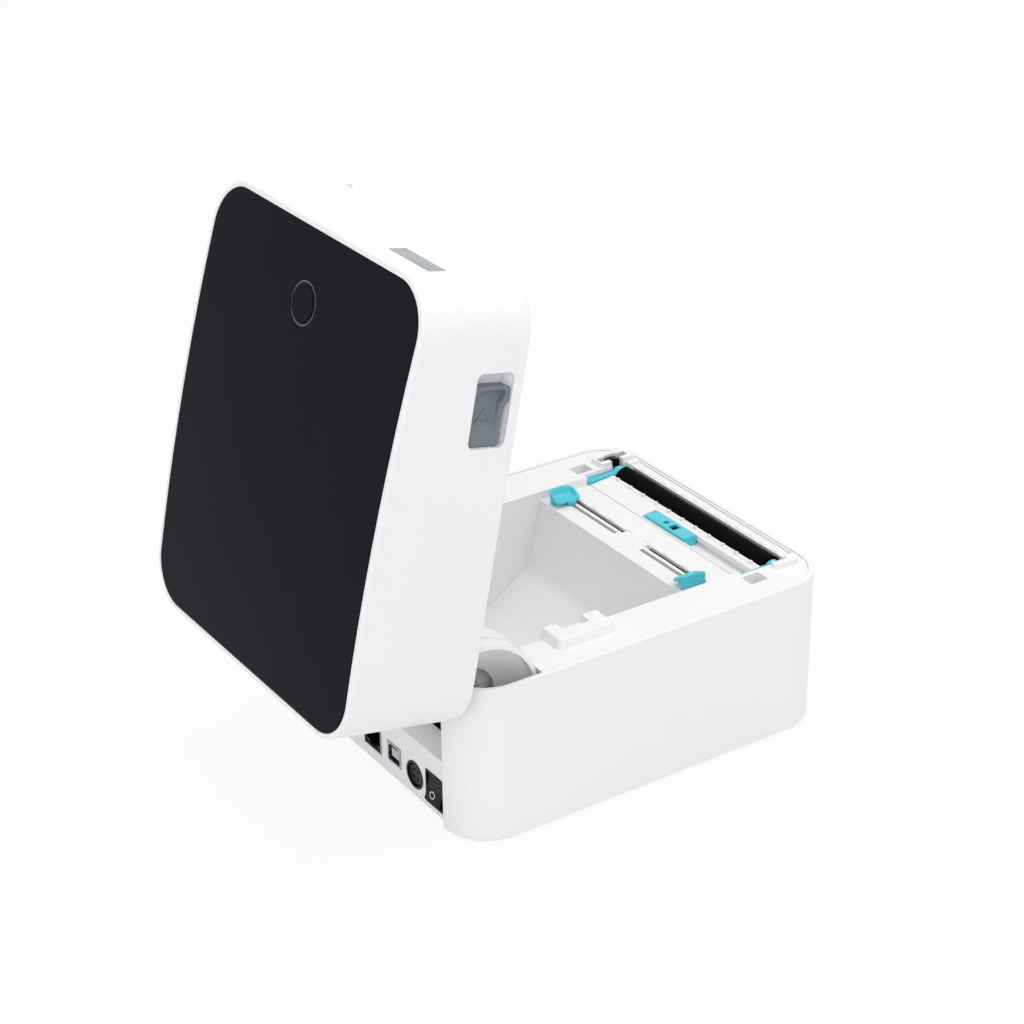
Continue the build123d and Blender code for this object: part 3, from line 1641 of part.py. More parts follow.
# Gloss panel let into the cover's top, with the hole for the feed button
ring_radius = button_radius + fit_gap + ring_width
with BuildPart() as cover_panel:
    add(dome_layer(shell_wall + panel_gap, -panel_proud, panel_thickness - panel_gap))
    chamfer(cover_panel.faces().sort_by(Axis.Z)[-1].edges(), panel_round)
    with BuildSketch(button_plane.offset(over)):
        Circle(ring_radius + panel_gap)
    extrude(amount=-panel_thickness - 2 * over, mode=Mode.SUBTRACT)
keep(cover_panel.part, "cover_panel", True)

# Feed button inside its light ring, over the small board that senses it
with BuildPart() as status_ring:
    with BuildSketch(button_plane.offset(-panel_thickness + panel_gap)):
        Circle(ring_radius)
        Circle(button_radius + fit_gap, mode=Mode.SUBTRACT)
    extrude(amount=panel_thickness)
keep(status_ring.part, "status_ring", True)

with BuildPart() as feed_button:
    with BuildSketch(button_plane.offset(-button_depth)):
        Circle(button_radius)
    extrude(amount=button_depth + button_proud)
    chamfer(feed_button.edges().group_by(Axis.Z)[-1], button_chamfer)
    with BuildSketch(button_plane.offset(-button_depth)):
        Circle(button_stem_radius)
    extrude(amount=-button_stem_length)
keep(feed_button.part, "feed_button", True)

button_board_depth = ceiling_depth - fit_gap + button_post_length
key_height = button_board_depth - button_depth - button_stem_length - button_travel - fit_gap
with BuildPart() as button_board:
    with BuildSketch(button_plane.offset(-button_board_depth)):
        RectangleRounded(
            2 * button_post_x + 4 * button_post_radius, button_board_width, button_board_round
        )
    extrude(amount=-board_thickness)
    with BuildSketch(button_plane.offset(-button_board_depth)):
        Rectangle(2 * button_stem_radius, 2 * button_stem_radius)
    extrude(amount=key_height)
keep(button_board.part, "button_board", True)

# Cover liner: a plate with the vault over the label roll, the printhead's window and the two hinge ears
vault_radius = (bay_rear_y - deck_rear_y) / 2 - vault_margin
vault_height = cover_height(bay_centre_y) - ceiling_depth - vault_top_gap - vault_radius
head_window_x = half_width - head_window_inset
head_window_front = head_window_front_inset - half_depth
head_window_rear = head_window_rear_inset - half_depth
head_pivot_y = head_pivot_inset - half_depth
head_pivot_z = liner_low + head_pivot_rise
hook_front = hook_front_inset - half_depth
lever_reach = sqrt(lever_length**2 + (lever_lift + lever_height) ** 2)
with BuildPart() as lever_slot:
    add(
        rod(
            bearing_start_x - lever_slot_side,
            bearing_end_x + lever_slot_side,
            roller_y,
            roller_height,
            lever_reach + lever_slot_gap,
        )
    )
    add(
        block(
            (bearing_start_x - over, bearing_end_x + over),
            (roller_y, roller_y + 2 * lever_length),
            (liner_low - over, liner_top + over),
        ),
        mode=Mode.INTERSECT,
    )
with BuildPart() as cover_liner:
    add(slab(liner_low, liner_top, shell_wall + fit_gap))
    add(rod(-bay_half_width - bay_wall, bay_half_width + bay_wall, bay_centre_y, vault_height, vault_radius))
    add(slab(0, liner_low, -over), mode=Mode.SUBTRACT)
    add(
        rod(-bay_half_width, bay_half_width, bay_centre_y, vault_height, vault_radius - bay_wall),
        mode=Mode.SUBTRACT,
    )
    add(
        block(
            (-head_window_x, head_window_x),
            (head_window_front, head_window_rear),
            (liner_low - over, liner_top + over),
        ),
        mode=Mode.SUBTRACT,
    )
    add(
        block(
            (-notch_half_width - fit_gap, notch_half_width + fit_gap),
            (-half_depth, -half_depth + tear_seat),
            (liner_low - over, liner_top + over),
        ),
        mode=Mode.SUBTRACT,
    )
    for side in (-1, 1):
        ear_floor_part = sector(
            hinge_pin_radius,
            ear_radius,
            ear_start_angle,
            ear_end_angle,
            ear_inner_x,
            ear_inner_x + ear_floor,
        )
        ear_rim = sector(
            ear_radius - ear_wall, ear_radius, ear_start_angle, ear_end_angle, ear_inner_x, ear_step_x
        )
        ear_lip = sector(
            ear_radius - ear_wall,
            ear_radius - ear_step,
            ear_start_angle,
            ear_end_angle,
            ear_step_x - ear_floor,
            ear_outer_x,
        )
        ear_boss = rod(ear_inner_x, ear_inner_x + ear_floor, hinge_y, hinge_z, hinge_boss_radius)
        ear_relief = sector(
            hinge_boss_radius + fit_gap,
            hinge_sweep + seam_gap,
            ear_relief_start,
            ear_relief_end,
            ear_inner_x - over,
            ear_outer_x + over,
        )
        ear_window = sector(
            cable_window_inner,
            cable_window_outer,
            cable_window_start,
            cable_window_end,
            ear_inner_x - over,
            ear_outer_x,
        )
        ear_bore = rod(ear_inner_x - over, ear_outer_x + over, hinge_y, hinge_z, hinge_pin_radius)
        above = block((ear_inner_x - over, half_width), (0, half_depth), (liner_top, cut_top))
        head_cheek = block(
            (head_window_x, head_window_x + bay_wall),
            (head_pivot_y - head_cheek_reach, head_pivot_y + head_cheek_reach),
            (liner_low, head_pivot_z + head_cheek_reach),
        )
        head_bore = rod(
            head_window_x - over,
            head_window_x + bay_wall + over,
            head_pivot_y,
            head_pivot_z,
            head_pin_radius + running_gap,
        )
        cup_space = block(
            (latch_back_x - fit_gap, half_width),
            (latch_front - cup_wall - fit_gap, latch_rear + cup_wall + fit_gap),
            (latch_low - 2 * cup_wall, latch_high),
        )
        hook_slot = block(
            (hook_x - hook_pocket_width / 2 + fit_gap, hook_x + hook_pocket_width / 2 - fit_gap),
            (hook_front - latch_travel - 2 * fit_gap, hook_front + hook_thickness + 2 * fit_gap),
            (liner_low - over, liner_top + over),
        )
        for solid in (ear_floor_part, ear_rim, ear_lip, ear_boss):
            add(sided(solid, side))
        for solid in (ear_relief, ear_window, ear_bore, above, cup_space, hook_slot, lever_slot.part):
            add(sided(solid, side), mode=Mode.SUBTRACT)
        add(sided(head_cheek, side))
        add(sided(head_bore, side), mode=Mode.SUBTRACT)
    with BuildSketch(Plane.XY.offset(liner_low - over)):
        with Locations(*screw_posts):
            Circle(screw_radius + running_gap)
    extrude(amount=liner_thickness + 2 * over, mode=Mode.SUBTRACT)
keep(cover_liner.part, "cover_liner", True)

# Rubber linings of the ears' cable windows
with BuildPart() as cable_grommet:
    add(
        sector(
            cable_window_inner + running_gap,
            cable_window_outer - running_gap,
            cable_window_start + fit_gap,
            cable_window_end - fit_gap,
            ear_inner_x - close_gap,
            ear_inner_x + ear_floor + lining_lip,
        )
    )
    add(
        sector(
            cable_window_inner + lining,
            cable_window_outer - lining,
            cable_window_start + lining_angle,
            cable_window_end - lining_angle,
            ear_inner_x + lining_lip,
            ear_outer_x,
        ),
        mode=Mode.SUBTRACT,
    )
both_sides(cable_grommet.part, "cable_grommet", True)

# Printhead on its sprung carrier
head_half_width = head_window_x - head_cheek_gap
head_front = head_front_inset - half_depth
head_rear = head_rear_inset - half_depth
head_low = roller_height + roller_radius + head_lift
head_top = liner_low - head_strip_drop - head_side / 2
bracket_outer_x = head_half_width + head_side
with BuildPart() as printhead_bracket:
    add(
        block(
            (-bracket_outer_x, bracket_outer_x),
            (head_front, head_window_rear - over),
            (head_top, liner_low - fit_gap),
        )
    )
    for side in (-1, 1):
        lug = block(
            (head_half_width, bracket_outer_x),
            (head_pivot_y - 2 * head_pin_radius, head_pivot_y + 2 * head_pin_radius),
            (head_top, head_pivot_z + 2 * head_pin_radius),
        )
        pin = rod(
            bracket_outer_x - over,
            head_window_x + bay_wall - fit_gap,
            head_pivot_y,
            head_pivot_z,
            head_pin_radius,
        )
        for solid in (lug, pin):
            add(sided(solid, side))
keep(printhead_bracket.part, "printhead_bracket", True)

with BuildPart() as printhead:
    strip_low = head_low + head_strip_drop
    add(
        block(
            (-head_half_width, head_half_width),
            (head_front + head_strip_margin, head_rear),
            (strip_low, head_top),
        )
    )
    with BuildSketch(Plane.YZ.offset(-head_half_width)):
        with Locations((roller_y, strip_low)):
            Circle(head_line_radius)
    extrude(amount=2 * head_half_width)
keep(printhead.part, "printhead", True)

# Tear bar at the label exit
tear_half_width = notch_half_width - tear_margin
tear_front = -half_depth + shell_wall + running_gap
tear_low = cover_low + notch_height - tear_lap
with BuildPart() as tear_bar:
    add(
        block(
            (-tear_half_width, tear_half_width),
            (tear_front, tear_front + tear_thickness),
            (tear_low, liner_top),
        )
    )
    with BuildSketch(Plane.XZ.offset(-tear_front)):
        with Locations((0, tear_low)):
            with GridLocations(tear_pitch, 0, int(2 * tear_half_width / tear_pitch), 1):
                Polygon(
                    (-tear_pitch / 2, tear_lap),
                    (0, -tear_tooth_height),
                    (tear_pitch / 2, tear_lap),
                    align=None,
                )
    extrude(amount=-tear_thickness)
keep(tear_bar.part, "tear_bar", True)

# Latches: a thumb piece in each cup, and the hook it moves inside the cover
thumb_rear = latch_rear - fit_gap
thumb_front = thumb_rear - latch_length
thumb_low = latch_low + cup_ramp + thumb_side_gap
thumb_high = latch_high - thumb_side_gap
thumb_start_x = latch_floor_x + fit_gap
thumb_outer_x = half_width - thumb_drop
scoop_front = thumb_front + thumb_lip
scoop_floor_x = thumb_start_x + thumb_base
scoop_tail_x = thumb_outer_x - thumb_tail
carrier_x = half_width - carrier_inset
with BuildPart() as latch:
    with BuildSketch(Plane.YZ.offset(thumb_start_x)):
        with Locations(((thumb_front + thumb_rear) / 2, (thumb_low + thumb_high) / 2)):
            RectangleRounded(latch_length, thumb_high - thumb_low, thumb_corner)
    extrude(amount=thumb_outer_x - thumb_start_x)
    head_low_z = latch_low + head_lip_low
    with BuildSketch(Plane.YZ.offset(latch_floor_x + head_lip_start)):
        with Locations((thumb_front + head_lip_length / 2, (head_low_z + thumb_high) / 2)):
            RectangleRounded(head_lip_length, thumb_high - head_low_z, thumb_corner)
    extrude(amount=thumb_outer_x - latch_floor_x - head_lip_start)
    with BuildSketch(Plane.XY.offset(thumb_low + thumb_ridge)):
        with BuildLine():
            Polyline(
                (scoop_tail_x, thumb_rear + over),
                (half_width + over, thumb_rear + over),
                (half_width + over, scoop_front),
                (scoop_floor_x, scoop_front),
            )
            ThreePointArc(
                (scoop_floor_x, scoop_front),
                (
                    (scoop_floor_x + scoop_tail_x) / 2 - thumb_sag,
                    (scoop_front + thumb_rear + over) / 2,
                ),
                (scoop_tail_x, thumb_rear + over),
            )
        make_face()
    extrude(amount=thumb_high - thumb_rim - thumb_low - thumb_ridge, mode=Mode.SUBTRACT)
    with BuildSketch(Plane.YZ.offset(thumb_start_x)):
        with Locations((latch_stem_y, latch_middle)):
            Rectangle(latch_stem_length, latch_stem_height)
    extrude(amount=carrier_x - thumb_start_x)
both_sides(latch.part, "latch", True)

with BuildPart() as latch_hook:
    add(
        block(
            (hook_x - hook_width / 2, carrier_x),
            (hook_front, latch_stem_y + latch_stem_length / 2),
            (latch_middle - latch_stem_height / 2, latch_middle + latch_stem_height / 2),
        )
    )
    with BuildSketch(Plane.YZ.offset(hook_x - hook_width / 2)):
        with BuildLine():
            Polyline(
                (hook_front, latch_middle),
                (hook_front, hook_low + hook_nose_top),
                (hook_front - hook_nose, hook_low + hook_nose_high),
                (hook_front - hook_nose, hook_low + hook_nose_low),
                (hook_front + hook_lead, hook_low),
                (hook_front + hook_thickness, hook_low),
                (hook_front + hook_thickness, latch_middle),
                close=True,
            )
        make_face()
    extrude(amount=hook_width)
both_sides(latch_hook.part, "latch_hook", True)

# Screws that hold the liner to the cover
with BuildPart() as liner_screws:
    with BuildSketch(Plane.XY.offset(liner_low)):
        with Locations(*screw_posts):
            Circle(screw_radius)
    extrude(amount=liner_screw_length)
    with BuildSketch(Plane.XY.offset(liner_low)):
        with Locations(*screw_posts):
            Circle(screw_head_radius)
    extrude(amount=-screw_head_height / 2)
keep(liner_screws.part, "liner_screws", True)

# Every piece of the cover is swung open, and the whole stands over the middle of its footprint
placed = []
for piece, name, swung in pieces:
    placed.append((piece.rotate(hinge_axis, -open_angle) if swung else piece, name))
footprint_rear = max(piece.bounding_box().max.Y for piece, name in placed)
footprint_middle = (footprint_rear - half_depth) / 2
for piece, name in placed:
    piece = piece.moved(Location((0, -footprint_middle, 0)))
    piece.label = name
    export_step(piece, f"parts/{name}.step")
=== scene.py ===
"""A desktop label printer with its cover swung open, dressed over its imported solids."""

import json
import math

import bmesh
import bpy
from mathutils import Matrix, Vector


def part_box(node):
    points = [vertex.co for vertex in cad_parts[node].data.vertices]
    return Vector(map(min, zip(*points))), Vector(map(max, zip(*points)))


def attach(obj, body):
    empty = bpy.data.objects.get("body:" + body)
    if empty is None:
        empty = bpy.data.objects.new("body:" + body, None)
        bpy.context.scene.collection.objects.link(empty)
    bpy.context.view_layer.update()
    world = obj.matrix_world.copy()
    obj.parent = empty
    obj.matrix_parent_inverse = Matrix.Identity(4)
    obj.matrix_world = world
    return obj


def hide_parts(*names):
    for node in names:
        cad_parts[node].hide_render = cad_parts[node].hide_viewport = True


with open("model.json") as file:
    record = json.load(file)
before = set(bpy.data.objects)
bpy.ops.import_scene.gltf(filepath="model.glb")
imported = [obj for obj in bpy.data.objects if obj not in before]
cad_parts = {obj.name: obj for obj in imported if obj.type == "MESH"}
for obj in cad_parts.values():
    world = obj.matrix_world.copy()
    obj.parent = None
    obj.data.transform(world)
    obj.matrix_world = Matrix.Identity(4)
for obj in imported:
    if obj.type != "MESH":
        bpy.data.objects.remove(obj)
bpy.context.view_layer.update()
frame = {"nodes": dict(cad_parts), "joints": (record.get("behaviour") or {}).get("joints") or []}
nodes = frame["nodes"]

bl_info = {
    "name": "Label printer",
    "version": (1, 0, 0),
    "blender": (4, 5, 0),
    "location": "3D View > Sidebar > Label printer",
    "description": "Dresses the solids of a desktop label printer with plastics, rubber, metal and small parts",
    "category": "Object",
}

MM = 0.001
CASING_DEPTH = 210 * MM

# The edge rounding that materials show, and how strong and how deep their bump is
SOFT_EDGE = 0.35 * MM
BUMP_STRENGTH = 0.03
BUMP_DEPTH = 0.2 * MM


# Placing


def joint(name):
    """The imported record's entry of one joint."""
    return next(j for j in frame["joints"] if j["name"] == name)


HINGE = Vector(joint("cover_hinge")["pos_m"])
OPEN_ANGLE = math.radians(joint("cover_hinge")["range_deg"][1])
COVER = Matrix.Translation(HINGE) @ Matrix.Rotation(-OPEN_ANGLE, 4, "X") @ Matrix.Translation(-HINGE)
# The solids are drawn about the middle of the casing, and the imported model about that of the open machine.
BASE = Matrix.Translation((0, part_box("base_shell")[0].y + CASING_DEPTH / 2, 0))


def at_base(x, y, z):
    """A point of the closed machine in millimetres from the middle of its casing's foot, in the row frame."""
    return BASE @ Vector((x * MM, y * MM, z * MM))


def at_cover(x, y, z):
    """The same for a point that swings open with the cover."""
    return COVER @ at_base(x, y, z)


# Shader node groups


def new_group(name, inputs, outputs):
    """An empty shader node group with named sockets, and its two end nodes."""
    tree = bpy.data.node_groups.new(name, "ShaderNodeTree")
    for label, kind, default in inputs:
        socket = tree.interface.new_socket(name=label, in_out="INPUT", socket_type=kind)
        if default is not None:
            socket.default_value = default
    for label, kind in outputs:
        tree.interface.new_socket(name=label, in_out="OUTPUT", socket_type=kind)
    return tree, tree.nodes.new("NodeGroupInput"), tree.nodes.new("NodeGroupOutput")


def add_node(tree, kind, links=(), **values):
    """A node with its properties set and its sockets linked or filled."""
    node = tree.nodes.new(kind)
    for key, value in values.items():
        setattr(node, key, value)
    for socket, source in dict(links).items():
        target = node.inputs[socket]
        if isinstance(source, bpy.types.NodeSocket):
            tree.links.new(source, target)
        else:
            target.default_value = source
    return node


def math_node(tree, operation, first, second=0.0, clamp=False):
    """The result of one arithmetic step."""
    made = add_node(tree, "ShaderNodeMath", {0: first, 1: second}, operation=operation, use_clamp=clamp)
    return made.outputs[0]


def noise(tree, position, scale, detail=2.0, roughness=0.5):
    """A noise value over the surface."""
    links = {"Vector": position, "Scale": scale, "Detail": detail, "Roughness": roughness}
    return add_node(tree, "ShaderNodeTexNoise", links).outputs["Fac"]


def spread(tree, value, low, high, first=0.0, last=1.0):
    """A value between first and last stretched between two limits."""
    links = {"Value": value, "From Min": first, "From Max": last, "To Min": low, "To Max": high}
    return add_node(tree, "ShaderNodeMapRange", links).outputs["Result"]


def build_moulded():
    """Moulded plastic: a fine eroded grain, a slow drift of shade, and rub marks that shine a little more."""
    tree, start, end = new_group(
        "Moulded surface",
        [
            ("Color", "NodeSocketColor", (0.8, 0.8, 0.8, 1)),
            ("Shade", "NodeSocketFloat", 0.03),
            ("Grain size", "NodeSocketFloat", 1800.0),
            ("Roughness", "NodeSocketFloat", 0.4),
            ("Rub", "NodeSocketFloat", 0.06),
        ],
        [("Color", "NodeSocketColor"), ("Roughness", "NodeSocketFloat"), ("Height", "NodeSocketFloat")],
    )
    place = add_node(tree, "ShaderNodeTexCoord").outputs["Object"]
    drift = noise(tree, place, scale=9.0, detail=3.0)
    speck = noise(tree, place, scale=700.0, detail=1.0)
    low = math_node(tree, "SUBTRACT", 1.0, start.outputs["Shade"])
    shade = spread(tree, drift, low, 1.0, first=0.3, last=0.7)
    grainy = math_node(tree, "MULTIPLY", math_node(tree, "SUBTRACT", speck, 0.5), start.outputs["Shade"])
    level = math_node(tree, "ADD", shade, grainy)
    tint = add_node(tree, "ShaderNodeHueSaturation", {"Value": level, "Color": start.outputs["Color"]})
    tree.links.new(tint.outputs["Color"], end.inputs["Color"])
    rub = noise(tree, place, scale=42.0, detail=4.0, roughness=0.62)
    rubbed = spread(tree, rub, 0.0, 1.0, first=0.42, last=0.62)
    drop = math_node(tree, "MULTIPLY", rubbed, start.outputs["Rub"])
    rough = math_node(tree, "SUBTRACT", start.outputs["Roughness"], drop, clamp=True)
    tree.links.new(rough, end.inputs["Roughness"])
    fine = noise(tree, place, scale=start.outputs["Grain size"], detail=2.0, roughness=0.6)
    tree.links.new(fine, end.inputs["Height"])
    return tree


def build_brushed():
    """Ground or brushed metal: long fine scratches along X, with a slow drift of shade."""
    tree, start, end = new_group(
        "Brushed surface",
        [
            ("Color", "NodeSocketColor", (0.6, 0.6, 0.6, 1)),
            ("Shade", "NodeSocketFloat", 0.15),
            ("Roughness", "NodeSocketFloat", 0.3),
            ("Stretch", "NodeSocketVector", (40.0, 3000.0, 3000.0)),
        ],
        [("Color", "NodeSocketColor"), ("Roughness", "NodeSocketFloat"), ("Height", "NodeSocketFloat")],
    )
    place = add_node(tree, "ShaderNodeTexCoord").outputs["Object"]
    links = {0: place, 1: start.outputs["Stretch"]}
    stretched = add_node(tree, "ShaderNodeVectorMath", links, operation="MULTIPLY")
    scratch = noise(tree, stretched.outputs[0], scale=1.0, detail=3.0, roughness=0.6)
    drift = noise(tree, place, scale=30.0, detail=3.0)
    scratched = math_node(tree, "MULTIPLY", scratch, 0.6)
    both = math_node(tree, "ADD", scratched, math_node(tree, "MULTIPLY", drift, 0.4))
    low = math_node(tree, "SUBTRACT", 1.0, start.outputs["Shade"])
    level = spread(tree, both, low, 1.0, first=0.3, last=0.7)
    tint = add_node(tree, "ShaderNodeHueSaturation", {"Value": level, "Color": start.outputs["Color"]})
    tree.links.new(tint.outputs["Color"], end.inputs["Color"])
    rough = math_node(tree, "ADD", start.outputs["Roughness"], spread(tree, scratch, -0.08, 0.1))
    tree.links.new(rough, end.inputs["Roughness"])
    tree.links.new(scratch, end.inputs["Height"])
    return tree


GROUPS = {}


def group(name):
    """A shared shader group, built the first time it is asked for."""
    if name not in GROUPS:
        GROUPS[name] = {"moulded": build_moulded, "brushed": build_brushed}[name]()
    return GROUPS[name]


def linear(color):
    """A colour given as it looks on a screen, for a node socket."""
    level = [c / 12.92 if c <= 0.04045 else ((c + 0.055) / 1.055) ** 2.4 for c in color[:3]]
    return (*level, 1.0)


def finish_material(name, kind, color, group_values, shader_values):
    """A material whose colour, roughness and bump come from one of the shared groups."""
    made = bpy.data.materials.new(name)
    made.use_nodes = True
    tree = made.node_tree
    shader = tree.nodes["Principled BSDF"]
    for key, value in shader_values.items():
        shader.inputs[key].default_value = value
    source = tree.nodes.new("ShaderNodeGroup")
    source.node_tree = group(kind)
    source.inputs["Color"].default_value = linear(color)
    for key, value in group_values.items():
        source.inputs[key].default_value = value
    tree.links.new(source.outputs["Color"], shader.inputs["Base Color"])
    tree.links.new(source.outputs["Roughness"], shader.inputs["Roughness"])
    edge = add_node(tree, "ShaderNodeBevel", {"Radius": SOFT_EDGE}, samples=4)
    links = {"Height": source.outputs["Height"], "Strength": BUMP_STRENGTH, "Distance": BUMP_DEPTH}
    bump = add_node(tree, "ShaderNodeBump", {**links, "Normal": edge.outputs[0]})
    tree.links.new(bump.outputs["Normal"], shader.inputs["Normal"])
    return made


# Values of the shader's own sockets: metals, the dull blacks and the plates that are only part metal
METAL = {"Metallic": 1.0}
DEEP_BLACK = {"Specular IOR Level": 0.03}
SOFT_BLACK = {"Specular IOR Level": 0.14}
HALF_METAL = {"Metallic": 0.7}


def surface(shade, roughness, rub=None):
    """Values of a shader group."""
    values = {"Shade": shade, "Roughness": roughness}
    return values if rub is None else {**values, "Rub": rub}


def recipes():
    """Each finish: its name, shader group, colour, values of the group, and values of the shader."""
    finish = bpy.context.scene.printer_finishes
    return {
        "casing": ("Casing white", "moulded", finish.casing, surface(0.02, 0.42), {}),
        "frame": ("Frame white", "moulded", finish.frame, surface(0.025, 0.5), {}),
        "panel": ("Panel gloss black", "moulded", finish.panel, surface(0.2, 0.16, 0.05), DEEP_BLACK),
        "teal": ("Teal plastic", "moulded", finish.teal, surface(0.05, 0.38), {}),
        "slate": ("Slate plastic", "moulded", finish.slate, surface(0.06, 0.45), {}),
        "black": ("Black plastic", "moulded", finish.black, surface(0.2, 0.42), SOFT_BLACK),
        "rubber": ("Black rubber", "moulded", finish.rubber, surface(0.25, 0.75), DEEP_BLACK),
        "board": ("Board green", "moulded", (0.05, 0.32, 0.2), surface(0.2, 0.35), {}),
        "ring": ("Light ring", "moulded", finish.ring, surface(0.05, 0.3), {}),
        "ceramic": ("Head ceramic", "moulded", (0.86, 0.84, 0.8), surface(0.05, 0.2), {}),
        "steel": ("Ground steel", "brushed", finish.steel, surface(0.2, 0.3), METAL),
        "nickel": ("Nickel plate", "brushed", (0.69, 0.69, 0.72), surface(0.12, 0.22), METAL),
        "aluminium": ("Aluminium sheet", "brushed", (0.78, 0.78, 0.79), surface(0.15, 0.36), METAL),
        "gold": ("Gold contact", "brushed", (0.9, 0.72, 0.35), surface(0.1, 0.2), METAL),
        "badge": ("Badge plate", "brushed", finish.badge, surface(0.1, 0.3), HALF_METAL),
        "lens": ("Sensor lens", "moulded", (0.03, 0.03, 0.05), surface(0.1, 0.08, 0.02), {}),
        "tongue": ("Socket tongue", "moulded", (0.74, 0.74, 0.77), surface(0.05, 0.4), {}),
        "dark_metal": ("Blackened shell", "brushed", (0.3, 0.3, 0.33), surface(0.1, 0.3), METAL),
        "mark": ("White mark", "moulded", (0.85, 0.86, 0.87), surface(0.05, 0.5), {}),
    }


MATERIALS = {}


def material(key):
    """A finish by its key, made once."""
    if key not in MATERIALS:
        MATERIALS[key] = finish_material(*recipes()[key])
    return MATERIALS[key]


def paint(key, *names):
    """Gives CAD nodes a finish."""
    for name in names:
        slots = nodes[name].data.materials
        slots.clear()
        slots.append(material(key))


# Meshes


def new_piece(name, mesh, body, key):
    """Links a finished mesh as a piece that rides on a body."""
    piece = bpy.data.objects.new(name, mesh)
    bpy.context.scene.collection.objects.link(piece)
    if key:
        mesh.materials.clear()
        mesh.materials.append(material(key))
    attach(piece, body)
    return piece


def merged_copy(*names):
    """The solids of CAD nodes in one closed work mesh."""
    work = bmesh.new()
    for name in names:
        work.from_mesh(nodes[name].data)
    bmesh.ops.remove_doubles(work, verts=work.verts[:], dist=1e-6)
    return work


def with_modifiers(name, mesh, steps):
    """A plain mesh of what a list of modifiers makes of another."""
    carrier = bpy.data.objects.new(name, mesh)
    bpy.context.scene.collection.objects.link(carrier)
    for kind, settings in steps:
        modifier = carrier.modifiers.new(kind.title(), kind)
        for key, value in settings.items():
            setattr(modifier, key, value)
    made = bpy.data.meshes.new_from_object(carrier.evaluated_get(bpy.context.evaluated_depsgraph_get()))
    made.name = name
    bpy.data.objects.remove(carrier)
    return made


def melted(name, work, voxel, rounds):
    """A work mesh made into one smooth skin, as a small moulding with no sharp edge."""
    skin = {"mode": "VOXEL", "voxel_size": voxel * MM, "use_smooth_shade": True}
    mesh = with_modifiers(name, as_mesh(name, work, 180.0), [("REMESH", skin)])
    return with_modifiers(name, mesh, [("SMOOTH", {"factor": 0.5, "iterations": rounds})])


def flat(value):
    """The same value at every point of a grid: a level surface, or an outline that holds all of it."""
    return lambda u, v: value


def relief(work, spans, step, inside, floor, top, place):
    """Adds a closed body over a grid: its cells lie inside an outline, between a floor and a top surface."""
    counts = [round((high - low) / step) for low, high in spans]
    cells = set()
    for i in range(counts[0]):
        for j in range(counts[1]):
            if inside(spans[0][0] + (i + 0.5) * step, spans[1][0] + (j + 0.5) * step):
                cells.add((i, j))
    made = {}

    def corner(i, j, surface):
        key = (i, j, surface)
        if key not in made:
            u, v = spans[0][0] + i * step, spans[1][0] + j * step
            made[key] = work.verts.new(place(u, v, surface(u, v)))
        return made[key]

    for i, j in sorted(cells):
        ring = ((i, j), (i + 1, j), (i + 1, j + 1), (i, j + 1))
        beside = ((i, j - 1), (i + 1, j), (i, j + 1), (i - 1, j))
        work.faces.new([corner(*at, top) for at in ring])
        work.faces.new([corner(*at, floor) for at in reversed(ring)])
        for first, second, other in zip(ring, ring[1:] + ring[:1], beside):
            if other not in cells:
                wall = ((first, top), (first, floor), (second, floor), (second, top))
                work.faces.new([corner(*at, surface) for at, surface in wall])


def band(name, outer, inner, floor, top, place):
    """A raised closed band between two outlines of as many points, from a floor to a top surface."""
    work = bmesh.new()
    rings = []
    for line, surface in ((outer, floor), (outer, top), (inner, top), (inner, floor)):
        rings.append([work.verts.new(place(u, v, surface(u, v))) for u, v in line])
    for ring, after in zip(rings, rings[1:] + rings[:1]):
        for index in range(len(ring)):
            work.faces.new([ring[index - 1], ring[index], after[index], after[index - 1]])
    bmesh.ops.recalc_face_normals(work, faces=work.faces[:])
    return as_mesh(name, work)


def lathe(name, profile, place, count, arc=None):
    """A closed turned body: a closed profile of radius and height, spun round its axis or along an arc."""
    work = bmesh.new()
    first, last = arc or (0.0, 360.0)
    turns = [math.radians(first + (last - first) * index / count) for index in range(count + bool(arc))]
    rings = []
    for radius, height in profile:
        if radius:
            spots = [(radius * math.cos(t), radius * math.sin(t), height) for t in turns]
            rings.append([work.verts.new(place(*spot)) for spot in spots])
        else:
            rings.append([work.verts.new(place(0, 0, height))] * len(turns))
    if arc:
        work.faces.new([ring[0] for ring in rings])
        work.faces.new([ring[-1] for ring in rings])
    for ring, after in zip(rings, rings[1:] + rings[:1]):
        for index in range(bool(arc), len(turns)):
            corners = []
            for vertex in (ring[index - 1], ring[index], after[index], after[index - 1]):
                if vertex not in corners:
                    corners.append(vertex)
            if len(corners) > 2:
                work.faces.new(corners)
    bmesh.ops.recalc_face_normals(work, faces=work.faces[:])
    return as_mesh(name, work)


def circle_points(middle, radius, count):
    """Points round a circle."""
    turns = [2 * math.pi * index / count for index in range(count)]
    return [(middle[0] + radius * math.cos(turn), middle[1] + radius * math.sin(turn)) for turn in turns]


def eased(value):
    """A step from 0 to 1 with soft ends."""
    value = min(1.0, max(0.0, value))
    return value * value * (3 - 2 * value)


def rounded(u, v, low, high, radius):
    """How far a point lies inside a rectangle with round corners."""
    depth = [min(at - first, last - at) for at, first, last in zip((u, v), low, high)]
    if depth[0] < radius and depth[1] < radius:
        return radius - math.hypot(radius - depth[0], radius - depth[1])
    return min(depth)


